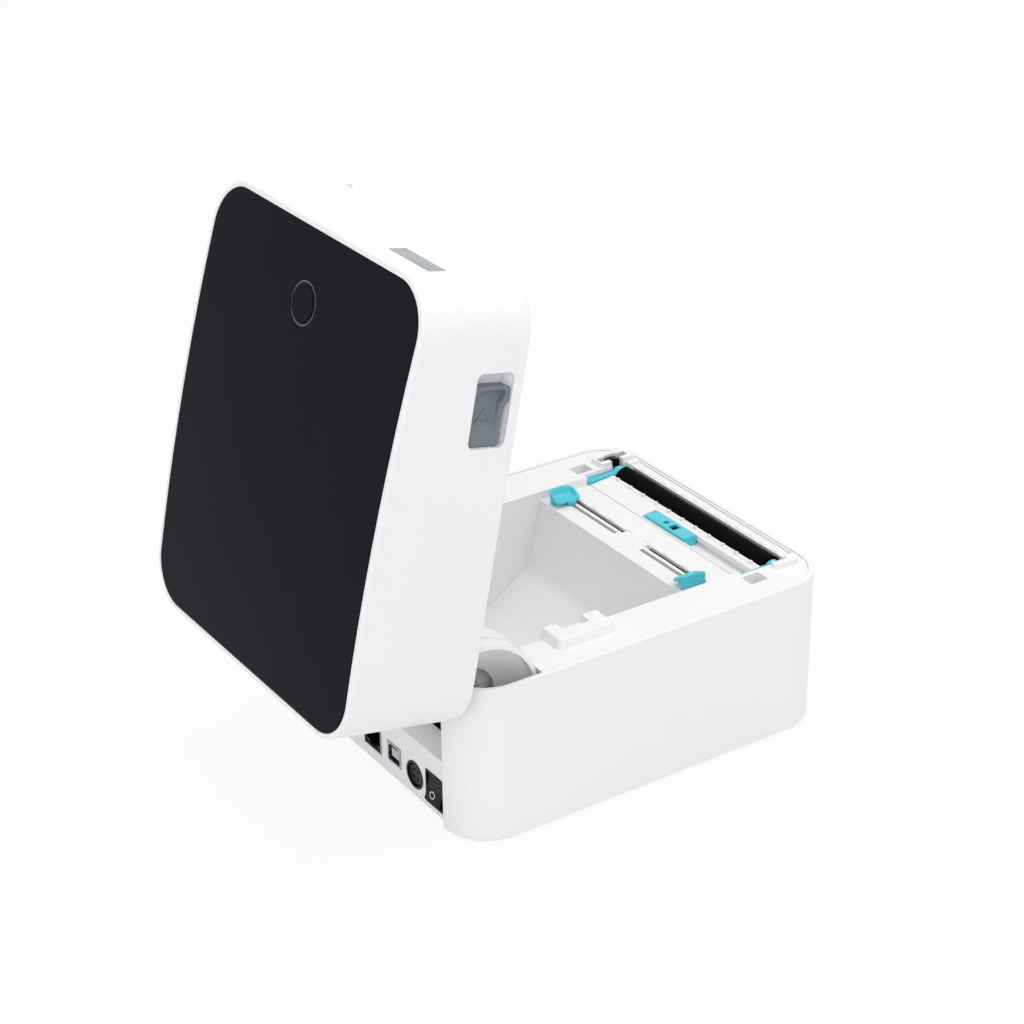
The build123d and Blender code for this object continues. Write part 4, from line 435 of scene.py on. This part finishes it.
def box_mesh(name, low, high, place, round_by):
    """A box between two corners in millimetres, with rounded edges, put in place by a function of a point."""
    work = bmesh.new()
    bmesh.ops.create_cube(work, size=1.0)
    for vertex in work.verts:
        vertex.co = [(a + b) / 2 + share * (b - a) for a, b, share in zip(low, high, vertex.co)]
    bmesh.ops.bevel(
        work, geom=work.edges[:], offset=round_by, segments=2, profile=0.5, affect="EDGES", clamp_overlap=True
    )
    for vertex in work.verts:
        vertex.co = place(*vertex.co)
    bmesh.ops.recalc_face_normals(work, faces=work.faces[:])
    return as_mesh(name, work)


def as_mesh(name, work, smooth=35.0):
    """A finished mesh with its soft edges shaded smooth."""
    mesh = bpy.data.meshes.new(name)
    work.to_mesh(mesh)
    work.free()
    for layer in [each for each in mesh.attributes if each.name == "custom_normal"]:
        mesh.attributes.remove(layer)
    for face in mesh.polygons:
        face.use_smooth = True
    mesh.set_sharp_from_angle(angle=math.radians(smooth))
    return mesh


# Rows of contacts


def contact_tree():
    """Geometry nodes for a row of bent strips of metal, each swept along the same curve."""
    tree = bpy.data.node_groups.new("Contact row", "GeometryNodeTree")
    for label, kind in (
        ("Count", "NodeSocketInt"),
        ("Step", "NodeSocketVector"),
        ("Start", "NodeSocketVector"),
        ("Middle", "NodeSocketVector"),
        ("End", "NodeSocketVector"),
        ("Width", "NodeSocketFloat"),
        ("Thickness", "NodeSocketFloat"),
        ("Material", "NodeSocketMaterial"),
    ):
        tree.interface.new_socket(name=label, in_out="INPUT", socket_type=kind)
    tree.interface.new_socket(name="Geometry", in_out="OUTPUT", socket_type="NodeSocketGeometry")
    start = tree.nodes.new("NodeGroupInput").outputs
    row = add_node(tree, "GeometryNodeMeshLine", {"Count": start["Count"], "Offset": start["Step"]})
    path = add_node(
        tree,
        "GeometryNodeCurveQuadraticBezier",
        {"Resolution": 6, "Start": start["Start"], "Middle": start["Middle"], "End": start["End"]},
    )
    size = {"Width": start["Width"], "Height": start["Thickness"]}
    section = add_node(tree, "GeometryNodeCurvePrimitiveQuadrilateral", size)
    strip = add_node(
        tree,
        "GeometryNodeCurveToMesh",
        {"Curve": path.outputs[0], "Profile Curve": section.outputs[0], "Fill Caps": True},
    )
    laid = add_node(
        tree, "GeometryNodeInstanceOnPoints", {"Points": row.outputs[0], "Instance": strip.outputs[0]}
    )
    real = add_node(tree, "GeometryNodeRealizeInstances", {"Geometry": laid.outputs[0]})
    coated = add_node(
        tree, "GeometryNodeSetMaterial", {"Geometry": real.outputs[0], "Material": start["Material"]}
    )
    end = tree.nodes.new("NodeGroupOutput")
    tree.links.new(coated.outputs[0], end.inputs[0])
    return tree


def contact_row(name, points, step, count, section):
    """A row of gilt contacts: three points of the first, the step to the next, and width and thickness."""
    tree = bpy.data.node_groups.get("Contact row") or contact_tree()
    carrier = bpy.data.objects.new(name, bpy.data.meshes.new(name))
    bpy.context.scene.collection.objects.link(carrier)
    modifier = carrier.modifiers.new("Row", "NODES")
    modifier.node_group = tree
    spots = [at_base(*point) for point in points]
    values = {
        "Count": count,
        "Step": at_base(*[a + b for a, b in zip(points[0], step)]) - spots[0],
        "Start": spots[0],
        "Middle": spots[1],
        "End": spots[2],
        "Width": section[0] * MM,
        "Thickness": section[1] * MM,
        "Material": material("gold"),
    }
    for item in tree.interface.items_tree:
        if item.in_out == "INPUT":
            modifier[item.identifier] = values[item.name]
    mesh = bpy.data.meshes.new_from_object(carrier.evaluated_get(bpy.context.evaluated_depsgraph_get()))
    bpy.data.objects.remove(carrier)
    new_piece(name, mesh, "printer", None)


# Settings


def colour(name, description, default):
    """A colour setting, given as it looks on a screen."""
    return bpy.props.FloatVectorProperty(
        name=name, description=description, subtype="COLOR_GAMMA", size=3, default=default
    )


def turn(name, description, degrees):
    """An angle setting."""
    return bpy.props.FloatProperty(
        name=name, description=description, default=math.radians(degrees), subtype="ANGLE"
    )


def power(name, description, default):
    """A lamp's power setting."""
    return bpy.props.FloatProperty(name=name, description=description, default=default, min=0, unit="POWER")


class PrinterFinishes(bpy.types.PropertyGroup):
    """The colours of the machine's plastics, rubber and metal."""

    casing: colour("Casing", "Outer white of base and cover", (0.94, 0.936, 0.946))
    frame: colour("Frame", "White of the inner frame", (0.945, 0.94, 0.942))
    panel: colour("Panel", "Gloss panel of the cover", (0.085, 0.085, 0.115))
    teal: colour("Teal", "Parts that the user moves", (0.30, 0.79, 0.86))
    slate: colour("Slate", "Side latches", (0.44, 0.475, 0.505))
    black: colour("Black", "Sockets, switch and gears", (0.05, 0.05, 0.06))
    rubber: colour("Rubber", "Platen roller and feet", (0.04, 0.04, 0.05))
    ring: colour("Ring", "Light ring around the feed button", (0.30, 0.31, 0.34))
    steel: colour("Steel", "Shafts and screws", (0.72, 0.72, 0.73))
    badge: colour("Badge", "Bare plate on the cover's front", (0.66, 0.68, 0.70))


class PrinterStage(bpy.types.PropertyGroup):
    """The floor, the lamps and the camera."""

    lens: bpy.props.FloatProperty(
        name="Lens", description="Focal length on a 36 mm sensor", default=85.64, min=10, max=300
    )
    yaw: turn("Turn", "Direction in which the camera looks, from +Y towards -X", 236.473)
    pitch: turn("Tilt", "Angle of the view above the horizon", -27.169)
    roll: turn("Roll", "Turn about the view", -0.558)
    place: bpy.props.FloatVectorProperty(
        name="Camera",
        description="Where the camera stands",
        subtype="TRANSLATION",
        unit="LENGTH",
        size=3,
        default=(-0.8643, 0.5620, 0.6457),
    )
    sky: bpy.props.FloatProperty(
        name="Sky", description="Strength of the even light from all round", default=0.72, min=0, max=4
    )
    key_lamp: power("Key lamp", "Power of the large lamp above", 8.1)
    side_lamp: power("Side lamp", "Power of the lamp beside", 1.3)
    fill_lamp: power("Fill lamp", "Power of the soft lamp beside the camera", 2.1)
    rear_lamp: power("Rear lamp", "Power of the soft lamp behind the machine", 2.4)
    floor_glow: bpy.props.FloatProperty(
        name="Floor white",
        description="Share of plain white that the camera sees in the floor",
        default=0.9,
        min=0,
        max=1,
        subtype="FACTOR",
    )


# Operators


def sides():
    """The two sides of the machine: which way X runs, and the name."""
    return ((-1, "left"), (1, "right"))


class PRINTER_OT_stage(bpy.types.Operator):
    """Sets up the floor, the lamps, the sky and the camera"""

    bl_idname = "printer.stage"
    bl_label = "Stage"

    # Each lamp's name, place and width in metres. Its power is the setting of the same name
    lamps = (
        ("Key lamp", (-0.1, -0.4, 1.5), 1.2),
        ("Side lamp", (-1.6, -0.2, 0.6), 1.0),
        ("Fill lamp", (-0.9, 0.6, 0.9), 0.8),
        ("Rear lamp", (-0.3, 1.4, 0.5), 0.9),
    )
    lit_point = Vector((0, 0, 0.1))
    floor_reach = 12.0
    floor_drop = 0.2 * MM
    floor_white = (0.86, 0.86, 0.86, 1)
    white = (1, 1, 1, 1)
    sensor_width = 36.0
    nearest_view = 0.01

    def execute(self, context):
        scene = context.scene
        stage = scene.printer_stage
        scene.view_settings.view_transform = "Standard"
        self.sky(scene, stage)
        self.floor(scene, stage)
        for name, place, width in self.lamps:
            self.lamp(scene, name, place, width, getattr(stage, name.lower().replace(" ", "_")))
        self.camera(scene, stage)
        return {"FINISHED"}

    def seen(self, tree):
        """1 on the rays that the camera, gloss and glass send out, and 0 on all others."""
        path = tree.nodes.new("ShaderNodeLightPath")
        direct = math_node(tree, "MAXIMUM", path.outputs["Is Camera Ray"], path.outputs["Is Glossy Ray"])
        return math_node(tree, "MAXIMUM", direct, path.outputs["Is Transmission Ray"])

    def sky(self, scene, stage):
        """An even pale sky that the camera, gloss and glass see as white."""
        world = bpy.data.worlds.new("Sky")
        world.use_nodes = True
        tree = world.node_tree
        ground = tree.nodes["Background"]
        ground.inputs["Color"].default_value = self.white
        tree.links.new(spread(tree, self.seen(tree), stage.sky, 1.0), ground.inputs["Strength"])
        scene.world = world

    def floor(self, scene, stage):
        """A plain floor that looks white and keeps the machine's soft shadow."""
        work = bmesh.new()
        bmesh.ops.create_grid(work, x_segments=1, y_segments=1, size=self.floor_reach)
        for vertex in work.verts:
            vertex.co.z = -self.floor_drop
        mesh = bpy.data.meshes.new("Floor")
        work.to_mesh(mesh)
        work.free()
        floor = bpy.data.objects.new("Floor", mesh)
        scene.collection.objects.link(floor)
        paper = bpy.data.materials.new("Floor white")
        paper.use_nodes = True
        tree = paper.node_tree
        tree.nodes.clear()
        dull = add_node(tree, "ShaderNodeBsdfDiffuse", {"Color": self.floor_white})
        glow = add_node(tree, "ShaderNodeEmission", {"Color": self.white, "Strength": 1.0})
        share = math_node(tree, "MULTIPLY", self.seen(tree), stage.floor_glow)
        both = add_node(tree, "ShaderNodeMixShader", {0: share, 1: dull.outputs[0], 2: glow.outputs[0]})
        out = tree.nodes.new("ShaderNodeOutputMaterial")
        tree.links.new(both.outputs[0], out.inputs["Surface"])
        mesh.materials.append(paper)

    def lamp(self, scene, name, place, width, energy):
        """A square soft lamp that faces the machine."""
        data = bpy.data.lights.new(name, "AREA")
        data.size = width
        data.energy = energy
        lamp = bpy.data.objects.new(name, data)
        lamp.location = place
        lamp.rotation_euler = (self.lit_point - Vector(place)).to_track_quat("-Z", "Y").to_euler()
        scene.collection.objects.link(lamp)

    def camera(self, scene, stage):
        """A camera at the photograph's angle."""
        data = bpy.data.cameras.new("Camera")
        data.sensor_width = self.sensor_width
        data.lens = stage.lens
        data.clip_start = self.nearest_view
        camera = bpy.data.objects.new("Camera", data)
        forward = Vector(
            (
                -math.sin(stage.yaw) * math.cos(stage.pitch),
                math.cos(stage.yaw) * math.cos(stage.pitch),
                math.sin(stage.pitch),
            )
        )
        level = Vector((math.cos(stage.yaw), math.sin(stage.yaw), 0))
        upright = level.cross(forward)
        right = math.cos(stage.roll) * level + math.sin(stage.roll) * upright
        up = -math.sin(stage.roll) * level + math.cos(stage.roll) * upright
        turned = Matrix((right, up, -forward)).transposed().to_4x4()
        camera.matrix_world = Matrix.Translation(stage.place) @ turned
        scene.collection.objects.link(camera)
        scene.camera = camera


class PRINTER_OT_finishes(bpy.types.Operator):
    """Gives every solid of the machine its finish"""

    bl_idname = "printer.finishes"
    bl_label = "Finishes"

    painted = {
        "casing": ("base_shell", "cover_shell"),
        "frame": (
            "inner_frame", "cover_liner", "roll_cradle_left", "roll_cradle_right", "guide_pinion",
            "guide_rack_left", "guide_rack_right", "connector_panel", "cable_grommet_left", "cable_grommet_right",
        ),
        "tongue": ("usb_tongue",),
        "panel": ("cover_panel", "feed_button"),
        "teal": ("guide_left", "guide_right", "sensor_carriage", "bearing_lever_left", "bearing_lever_right"),
        "slate": ("latch_left", "latch_right"),
        "black": (
            "latch_hook_left", "latch_hook_right", "bottom_plate", "ethernet_jack", "power_socket",
            "switch_housing", "switch_rocker", "label_sensor", "platen_gear", "idler_gear", "stepper_motor",
        ),
        "rubber": ("platen_rubber", "rubber_foot_1", "rubber_foot_2", "rubber_foot_3", "rubber_foot_4"),
        "ring": ("status_ring",),
        "board": ("main_board", "button_board"),
        "steel": (
            "platen_shaft", "motor_shaft", "case_screws", "liner_screws", "idler_axle", "guide_axle",
            "tear_bar", "motor_pinion", "hinge_pin_left", "hinge_pin_right",
        ),
        "nickel": ("usb_port", "ethernet_shell"),
        "aluminium": ("motor_bracket", "printhead_bracket"),
        "ceramic": ("printhead",),
    }

    def execute(self, context):
        for key, names in self.painted.items():
            paint(key, *names)
        return {"FINISHED"}


class PRINTER_OT_badge(bpy.types.Operator):
    """Lets a bare metal plate into the front of the cover"""

    bl_idname = "printer.badge"
    bl_label = "Badge plate"

    low = (-67.1, -105.2, 113.5)
    high = (-35.6, -104.6, 122.0)
    edge_round = 0.15

    def execute(self, context):
        mesh = box_mesh("badge_plate", self.low, self.high, at_cover, self.edge_round)
        new_piece("badge_plate", mesh, "cover", "badge")
        return {"FINISHED"}


class PRINTER_OT_latches(bpy.types.Operator):
    """Sculpts the thumb pieces in the sides of the cover"""

    bl_idname = "printer.latches"
    bl_label = "Side latches"

    # The plate: its reach along Y and Z, and its two faces along X
    plate = ((-61.0, -34.0), (87.1, 105.1))
    outer = 89.0
    back = 83.9
    cell = 0.3

    # The plate's outline: its body, the flare of its head, and the web between them with its round hollow
    body = ((-61.0, 89.4), (-34.0, 105.1))
    head_end = -50.0
    head_radius = 1.6
    tail_radius = 2.6
    flare = ((-61.0, 87.1), (-54.2, 95.0))
    flare_radius = 3.0
    web = ((-55.4, -49.4), (87.4, 90.0))
    web_hollow = (-49.4, 83.4)
    web_radius = 6.0

    # The bowl: its edges, where its low rim drops, its corners, and how its floor rises away from the head
    bowl_front = -59.6
    bowl_rear = 0.0
    bowl_high = 104.4
    bowl_low = 91.0
    bowl_drop = 2.2
    bowl_drop_start = -52.0
    bowl_drop_length = 4.5
    bowl_bend = 98.0
    bowl_radius_high = 5.0
    bowl_radius_low = 2.2
    deepest = 3.9
    slope_rise = 3.1
    slope_start = -57.5
    slope_length = 23.5
    slope_power = 0.75
    lip_width = 1.7

    # The stem that joins the plate to its hook
    stem = ((-55.0, -47.0), (93.3, 98.7))
    stem_back = 79.0
    stem_face = 84.6
    stem_cell = 0.9

    voxel = 0.26
    rounds = 3

    # The triangle that points the way: its corners about its middle, and how it stands in the bowl
    pointer = ((-4.4, 0.0), (2.2, 4.9), (2.2, -4.9))
    pointer_middle = (-46.3, 97.4)
    pointer_inner = 0.56
    pointer_sink = 0.3
    pointer_rise = 0.4
    pointer_steps = 6

    def execute(self, context):
        for side, name in sides():
            def place(y, z, x):
                return at_cover(side * x, y, z)

            work = bmesh.new()
            relief(work, self.plate, self.cell, self.inside, flat(self.back), self.bowl, place)
            back, face = flat(self.stem_back), flat(self.stem_face)
            relief(work, self.stem, self.stem_cell, flat(True), back, face, place)
            bmesh.ops.recalc_face_normals(work, faces=work.faces[:])
            skin = melted("latch", work, self.voxel, self.rounds)
            piece = new_piece(f"thumb_latch_{name}", skin, f"{name}_latch", "slate")
            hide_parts(f"latch_{name}")
            outer, inner = self.triangle(1.0), self.triangle(self.pointer_inner)
            mark = band("mark", outer, inner, self.pointer_foot, self.pointer_top, place)
            new_piece(f"latch_mark_{name}", mark, f"{name}_latch", "slate")
        return {"FINISHED"}

    def inside(self, y, z):
        """The outline: a plate with a head that flares towards the cover's seam."""
        if rounded(y, z, *self.body, self.head_radius if y < self.head_end else self.tail_radius) > 0:
            return True
        if rounded(y, z, *self.flare, self.flare_radius) > 0:
            return True
        (left, right), (low, high) = self.web
        hollow = math.hypot(y - self.web_hollow[0], z - self.web_hollow[1])
        return left < y < right and low < z < high and hollow > self.web_radius

    def bowl(self, y, z):
        """The hollowed face: how far out it lies, between its lip, its ridge and its low rim."""
        low = self.bowl_low - self.bowl_drop * eased((self.bowl_drop_start - y) / self.bowl_drop_length)
        radius = self.bowl_radius_high if z > self.bowl_bend else self.bowl_radius_low
        rim = rounded(y, z, (self.bowl_front, low), (self.bowl_rear, self.bowl_high), radius)
        along = max(0.0, (y - self.slope_start) / self.slope_length)
        deep = self.deepest - self.slope_rise * along**self.slope_power
        return self.outer - deep * eased(rim / self.lip_width)

    def pointer_foot(self, y, z):
        return self.bowl(y, z) - self.pointer_sink

    def pointer_top(self, y, z):
        return self.bowl(y, z) + self.pointer_rise

    def triangle(self, scale):
        """Points round the pointer at a share of its size, close enough to follow the bowl."""
        middle = self.pointer_middle
        corners = [(middle[0] + scale * y, middle[1] + scale * z) for y, z in self.pointer]
        line = []
        for first, second in zip(corners, corners[1:] + corners[:1]):
            for step in range(self.pointer_steps):
                share = step / self.pointer_steps
                line.append(tuple(a + (b - a) * share for a, b in zip(first, second)))
        return line


class PRINTER_OT_guides(bpy.types.Operator):
    """Sculpts the dished label guides over their carriers"""

    bl_idname = "printer.guides"
    bl_label = "Label guides"

    # A guide's outer face lies this far from the middle, and its widths are measured inwards from there
    outer = 57.0
    cell = 0.3
    voxel = 0.25
    rounds = 4

    # The dish, the foot under it and the arm beside it: reach inwards, reach along Y, and corner radius
    dish = ((0.0, 8.8), (-53.4, -38.4), 2.6)
    foot = ((0.3, 3.6), (-53.1, -39.0), 1.4)
    arm = ((2.7, 9.6), (-50.2, -45.4), 1.0)
    arm_start = 0.0
    arm_top = 79.6
    dish_wall = 1.7
    foot_lap = 0.7

    # The rim's arch along Y, its height at the inner edge, and the hollow inside its lip
    arch_height = 84.9
    arch_drop = 1.7
    arch_middle = -44.5
    arch_reach = 8.5
    arch_rear_share = 0.6
    inner_height = 80.6
    hollow_deep = 2.6
    hollow_rise = 1.9
    hollow_start = 2.0
    hollow_length = 6.0
    lip_width = 0.9
    lip_slope = 1.5

    # The sculpted part starts a little below the cut that keeps the solid's own lower half
    cut = 77.5
    start = 77.4

    def execute(self, context):
        for side, name in sides():
            def place(u, y, z):
                return at_base(side * (self.outer - u), y, z)

            work = bmesh.new()
            relief(work, self.dish[:2], self.cell, self.in_dish, self.dish_floor, self.dish_top, place)
            relief(work, self.foot[:2], self.cell, self.in_foot, flat(self.start), self.foot_top, place)
            relief(work, self.arm[:2], self.cell, self.in_arm, flat(self.start), flat(self.arm_top), place)
            bmesh.ops.recalc_face_normals(work, faces=work.faces[:])
            skin = melted("guide", work, self.voxel, self.rounds)
            under = merged_copy(f"guide_{name}")
            plane = at_base(0, 0, self.cut)
            geometry = under.verts[:] + under.edges[:] + under.faces[:]
            kept = bmesh.ops.bisect_plane(
                under, geom=geometry, plane_co=plane, plane_no=(0, 0, 1), clear_outer=True
            )
            rim = [part for part in kept["geom_cut"] if isinstance(part, bmesh.types.BMEdge)]
            bmesh.ops.holes_fill(under, edges=rim)
            under.from_mesh(skin)
            mesh = as_mesh("guide", under)
            piece = new_piece(f"dished_guide_{name}", mesh, f"{name}_guide", "teal")
            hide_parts(f"guide_{name}")
        return {"FINISHED"}

    def within(self, u, y, part, start=None):
        """How far a point lies inside the round-cornered outline of a part."""
        (first, last), (front, rear), radius = part
        return rounded(u, y, (first if start is None else start, front), (last, rear), radius)

    def in_dish(self, u, y):
        return self.within(u, y, self.dish) > 0

    def in_foot(self, u, y):
        return self.within(u, y, self.foot) > 0

    def in_arm(self, u, y):
        return self.within(u, y, self.arm, self.arm_start) > 0

    def rim(self, u, y):
        """The height of the dish's rim: high outside, lower inside and at its front end."""
        share = self.arch_rear_share if y > self.arch_middle else 1.0
        arch = self.arch_height - self.arch_drop * ((y - self.arch_middle) / self.arch_reach) ** 2 * share
        return arch - (arch - self.inner_height) * eased(u / self.dish[0][1])

    def dish_top(self, u, y):
        """The rim, and inside it a bowl that is nearly level."""
        hollow = self.hollow_deep - self.hollow_rise * eased((u - self.hollow_start) / self.hollow_length)
        inwards = (self.within(u, y, self.dish) - self.lip_width) / self.lip_slope
        return self.rim(u, y) - hollow * eased(inwards)

    def dish_floor(self, u, y):
        return self.dish_top(u, y) - self.dish_wall

    def foot_top(self, u, y):
        return self.dish_top(u, y) - self.foot_lap


class PRINTER_OT_sockets(bpy.types.Operator):
    """Adds the contacts of the rear sockets and the mark on the power rocker"""

    bl_idname = "printer.sockets"
    bl_label = "Sockets and mark"

    # The network socket's first contact, the step to the next, and each contact's width and thickness
    network_wire = ((-0.95, 90.0, 18.6), (-0.95, 97.0, 18.9), (-0.95, 92.5, 15.4))
    network_step = (1.02, 0, 0)
    network_count = 8
    network_section = (0.5, 0.3)

    # The square socket's two rows, above and below its tongue
    square_x = -18.65
    square_reach = (92.0, 96.0, 99.6)
    square_rows = (("upper", 16.75), ("lower", 12.55))
    square_step = (2.5, 0, 0)
    square_count = 2
    square_section = (1.0, 0.34)

    # The ring on the rocker's lower half: its middle and half sizes along X and Z
    ring_middle = (-52.6, 11.2)
    ring_outer = (2.2, 1.75)
    ring_inner = (1.65, 1.25)
    ring_count = 32
    ring_sink = 0.2
    ring_rise = 0.06

    # The rocker's lower face: how far out it lies at its foot, and how it leans
    face_out = 103.6
    face_foot = 7.3
    face_lean = 1.8 / 6.4

    def execute(self, context):
        section = self.network_section
        contact_row("network_contacts", self.network_wire, self.network_step, self.network_count, section)
        for name, height in self.square_rows:
            strip = [(self.square_x, y, height) for y in self.square_reach]
            section = self.square_section
            contact_row(f"usb_contacts_{name}", strip, self.square_step, self.square_count, section)
        self.off_mark()
        return {"FINISHED"}

    def off_mark(self):
        """A ring on the lower half of the rocker, the general mark for off."""
        def place(x, z, out):
            return at_base(x, out, z)

        def face(z):
            return self.face_out - (z - self.face_foot) * self.face_lean

        def ring(half):
            middle = self.ring_middle
            points = circle_points((0, 0), 1.0, self.ring_count)
            return [(middle[0] + half[0] * x, middle[1] + half[1] * z) for x, z in points]

        def foot(x, z):
            return face(z) - self.ring_sink

        def top(x, z):
            return face(z) + self.ring_rise

        mark = band("off", ring(self.ring_outer), ring(self.ring_inner), foot, top, place)
        new_piece("off_mark", mark, "power_rocker", "mark")


class PRINTER_OT_turned(bpy.types.Operator):
    """Turns the feet's treads, the hinge ears' dishes, the sensor's lens and the power socket's shell"""

    bl_idname = "printer.turned"
    bl_label = "Turned parts"

    # Each profile is a closed line of radius and height
    tread = (
        (0, 2.2), (7.5, 2.2), (7.5, 0.9), (7.2, 0.3), (6.6, 0.0), (6.0, 0.0), (5.8, 0.4),
        (5.2, 0.4), (5.0, 0.0), (4.4, 0.0), (4.2, 0.4), (3.6, 0.4), (3.4, 0.0), (0, 0.0),
    )
    ear_face = ((29.0, 80.4), (25.0, 77.6), (21.0, 75.2), (17.0, 73.2), (14.6, 72.4))
    ear_back = ((14.6, 71.3), (17.0, 72.1), (21.0, 74.1), (25.0, 76.5), (29.0, 79.3))
    ear_arc = (67.5, 182.5)
    lens = ((0, 78.3), (0.7, 78.2), (1.2, 77.9), (1.42, 77.5), (1.42, 76.9), (0, 76.9))
    lens_middle = (2.62, -73.5)
    shell = ((4.9, 101.2), (4.9, 96.0), (4.55, 96.0), (4.55, 101.2))
    shell_middle = (-35.8, 13.2)
    count = 48
    lens_count = 32

    def execute(self, context):
        self.feet()
        self.ears()
        self.sensor_lens()
        self.socket_shell()
        return {"FINISHED"}

    def feet(self):
        """Rubber feet with two ring-shaped treads."""
        for number in range(1, 5):
            low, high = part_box(f"rubber_foot_{number}")
            middle = (low + high) / 2

            def place(x, y, z, middle=middle):
                return Vector((middle.x + x * MM, middle.y + y * MM, z * MM))

            mesh = lathe("foot", self.tread, place, self.count)
            piece = new_piece(f"treaded_foot_{number}", mesh, "printer", "rubber")
            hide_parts(f"rubber_foot_{number}")

    def ears(self):
        """A dished lining in each hinge ear, along the ear's own arc."""
        for side, name in sides():
            def place(u, v, x, side=side):
                return Vector((side * x * MM, HINGE.y + u * MM, HINGE.z + v * MM))

            mesh = lathe("dish", self.ear_face + self.ear_back, place, self.count, self.ear_arc)
            new_piece(f"ear_dish_{name}", mesh, "cover", "frame")

    def sensor_lens(self):
        """A dark drop of resin on the label sensor."""
        def place(u, v, z):
            return at_base(self.lens_middle[0] + u, self.lens_middle[1] + v, z)

        mesh = lathe("lens", self.lens, place, self.lens_count)
        new_piece("sensor_lens", mesh, "sensor", "lens")

    def socket_shell(self):
        """The blackened metal ring inside the round power socket."""
        def place(u, v, y):
            return at_base(self.shell_middle[0] + u, y, self.shell_middle[1] + v)

        mesh = lathe("shell", self.shell, place, self.count)
        new_piece("power_socket_shell", mesh, "printer", "dark_metal")


class PRINTER_OT_plate(bpy.types.Operator):
    """Glues a blank rating plate to the underside"""

    bl_idname = "printer.plate"
    bl_label = "Rating plate"

    low = (-28.0, -22.0, 1.45)
    high = (28.0, 10.0, 1.65)
    edge_round = 0.08

    def execute(self, context):
        mesh = box_mesh("plate", self.low, self.high, at_base, self.edge_round)
        new_piece("rating_plate", mesh, "printer", "badge")
        return {"FINISHED"}


class PRINTER_OT_painted_shade(bpy.types.Operator):
    """Lays dark patches of painted shade under the slots of the label guides and in the grooves beside them"""

    bl_idname = "printer.shields"
    bl_label = "Slot felts"

    # Low corner, high corner and edge radius, on the side where X is positive
    # Painted shade: black sheets in the rubber finish that darken the slots and grooves, where there is only
    # shade
    shade_patches = {
        "slot_felt": ((8.0, -52.0, 68.9), (56.0, -38.45, 69.5), 0.2),
        "groove_felt": ((10.6, -53.5, 75.15), (59.9, -50.9, 75.5), 0.1),
    }

    def execute(self, context):
        for side, name in sides():
            def place(u, y, z):
                return at_base(side * u, y, z)

            # Each patch is a sheet of painted shade, not a real part of the machine
            for felt, (low, high, edge_round) in self.shade_patches.items():
                mesh = box_mesh(felt, low, high, place, edge_round)
                new_piece(f"{felt}_{name}", mesh, "printer", "rubber")
        return {"FINISHED"}


class PRINTER_OT_ribs(bpy.types.Operator):
    """Gives the low ribs of the deck the soft shoulders of a moulding"""

    bl_idname = "printer.ribs"
    bl_label = "Soft ribs"

    rib_height = 0.3 * MM
    height_slack = 0.02 * MM
    line_slack = 0.01 * MM
    narrowest = 0.5 * MM
    widest = 4 * MM
    shoulder = 2.4 * MM

    def execute(self, context):
        work = merged_copy("inner_frame")
        feet = self.rib_feet(work)
        for low, (high, shift) in feet.items():
            low.co.x += shift
        raised = {high for high, shift in feet.values()} | set(feet)
        work.edges.index_update()
        sharp = {edge.index for edge in work.edges if edge.verts[0] in raised or edge.verts[1] in raised}
        mesh = as_mesh("ribs", work)
        for edge in mesh.edges:
            if edge.index in sharp:
                edge.use_edge_sharp = True
        piece = new_piece("moulded_frame", mesh, "printer", "frame")
        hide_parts("inner_frame")
        return {"FINISHED"}

    def rib_feet(self, work):
        """The lower corners of the ribs, each with the corner above it and the way that it moves out."""
        feet = {}
        for edge in work.edges:
            low, high = sorted(edge.verts, key=lambda vertex: vertex.co.z)
            rise = high.co - low.co
            upright = math.hypot(rise.x, rise.y) < self.line_slack
            if not upright or abs(rise.z - self.rib_height) >= self.height_slack:
                continue
            for other in high.link_edges:
                across = other.other_vert(high).co - high.co
                straight = abs(across.y) < self.line_slack and abs(across.z) < self.line_slack
                if straight and self.narrowest < abs(across.x) < self.widest:
                    feet[low] = (high, -math.copysign(self.shoulder, across.x))
        return feet


class PRINTER_PT_panel(bpy.types.Panel):
    """Lists the machine's operators and settings"""

    bl_idname = "PRINTER_PT_panel"
    bl_label = "Label printer"
    bl_space_type = "VIEW_3D"
    bl_region_type = "UI"
    bl_category = "Label printer"

    def draw(self, context):
        for step in OPERATORS:
            self.layout.operator(step.bl_idname)
        for settings in (context.scene.printer_finishes, context.scene.printer_stage):
            column = self.layout.column()
            for key in settings.__annotations__:
                column.prop(settings, key)


OPERATORS = (
    PRINTER_OT_finishes,
    PRINTER_OT_badge,
    PRINTER_OT_latches,
    PRINTER_OT_guides,
    PRINTER_OT_sockets,
    PRINTER_OT_turned,
    PRINTER_OT_plate,
    PRINTER_OT_painted_shade,
    PRINTER_OT_ribs,
    PRINTER_OT_stage,
)
CLASSES = (PrinterFinishes, PrinterStage, *OPERATORS, PRINTER_PT_panel)


def register():
    """Adds the classes and the scene's settings."""
    for each in CLASSES:
        bpy.utils.register_class(each)
    bpy.types.Scene.printer_finishes = bpy.props.PointerProperty(type=PrinterFinishes)
    bpy.types.Scene.printer_stage = bpy.props.PointerProperty(type=PrinterStage)


def unregister():
    """Takes them away again."""
    del bpy.types.Scene.printer_stage
    del bpy.types.Scene.printer_finishes
    for each in reversed(CLASSES):
        bpy.utils.unregister_class(each)


def run(step):
    """Calls one operator by its name."""
    family, name = step.bl_idname.split(".")
    getattr(getattr(bpy.ops, family), name)()


def main():
    """Dresses the machine."""
    register()
    for step in OPERATORS:
        run(step)


if __name__ == "__main__":
    main()
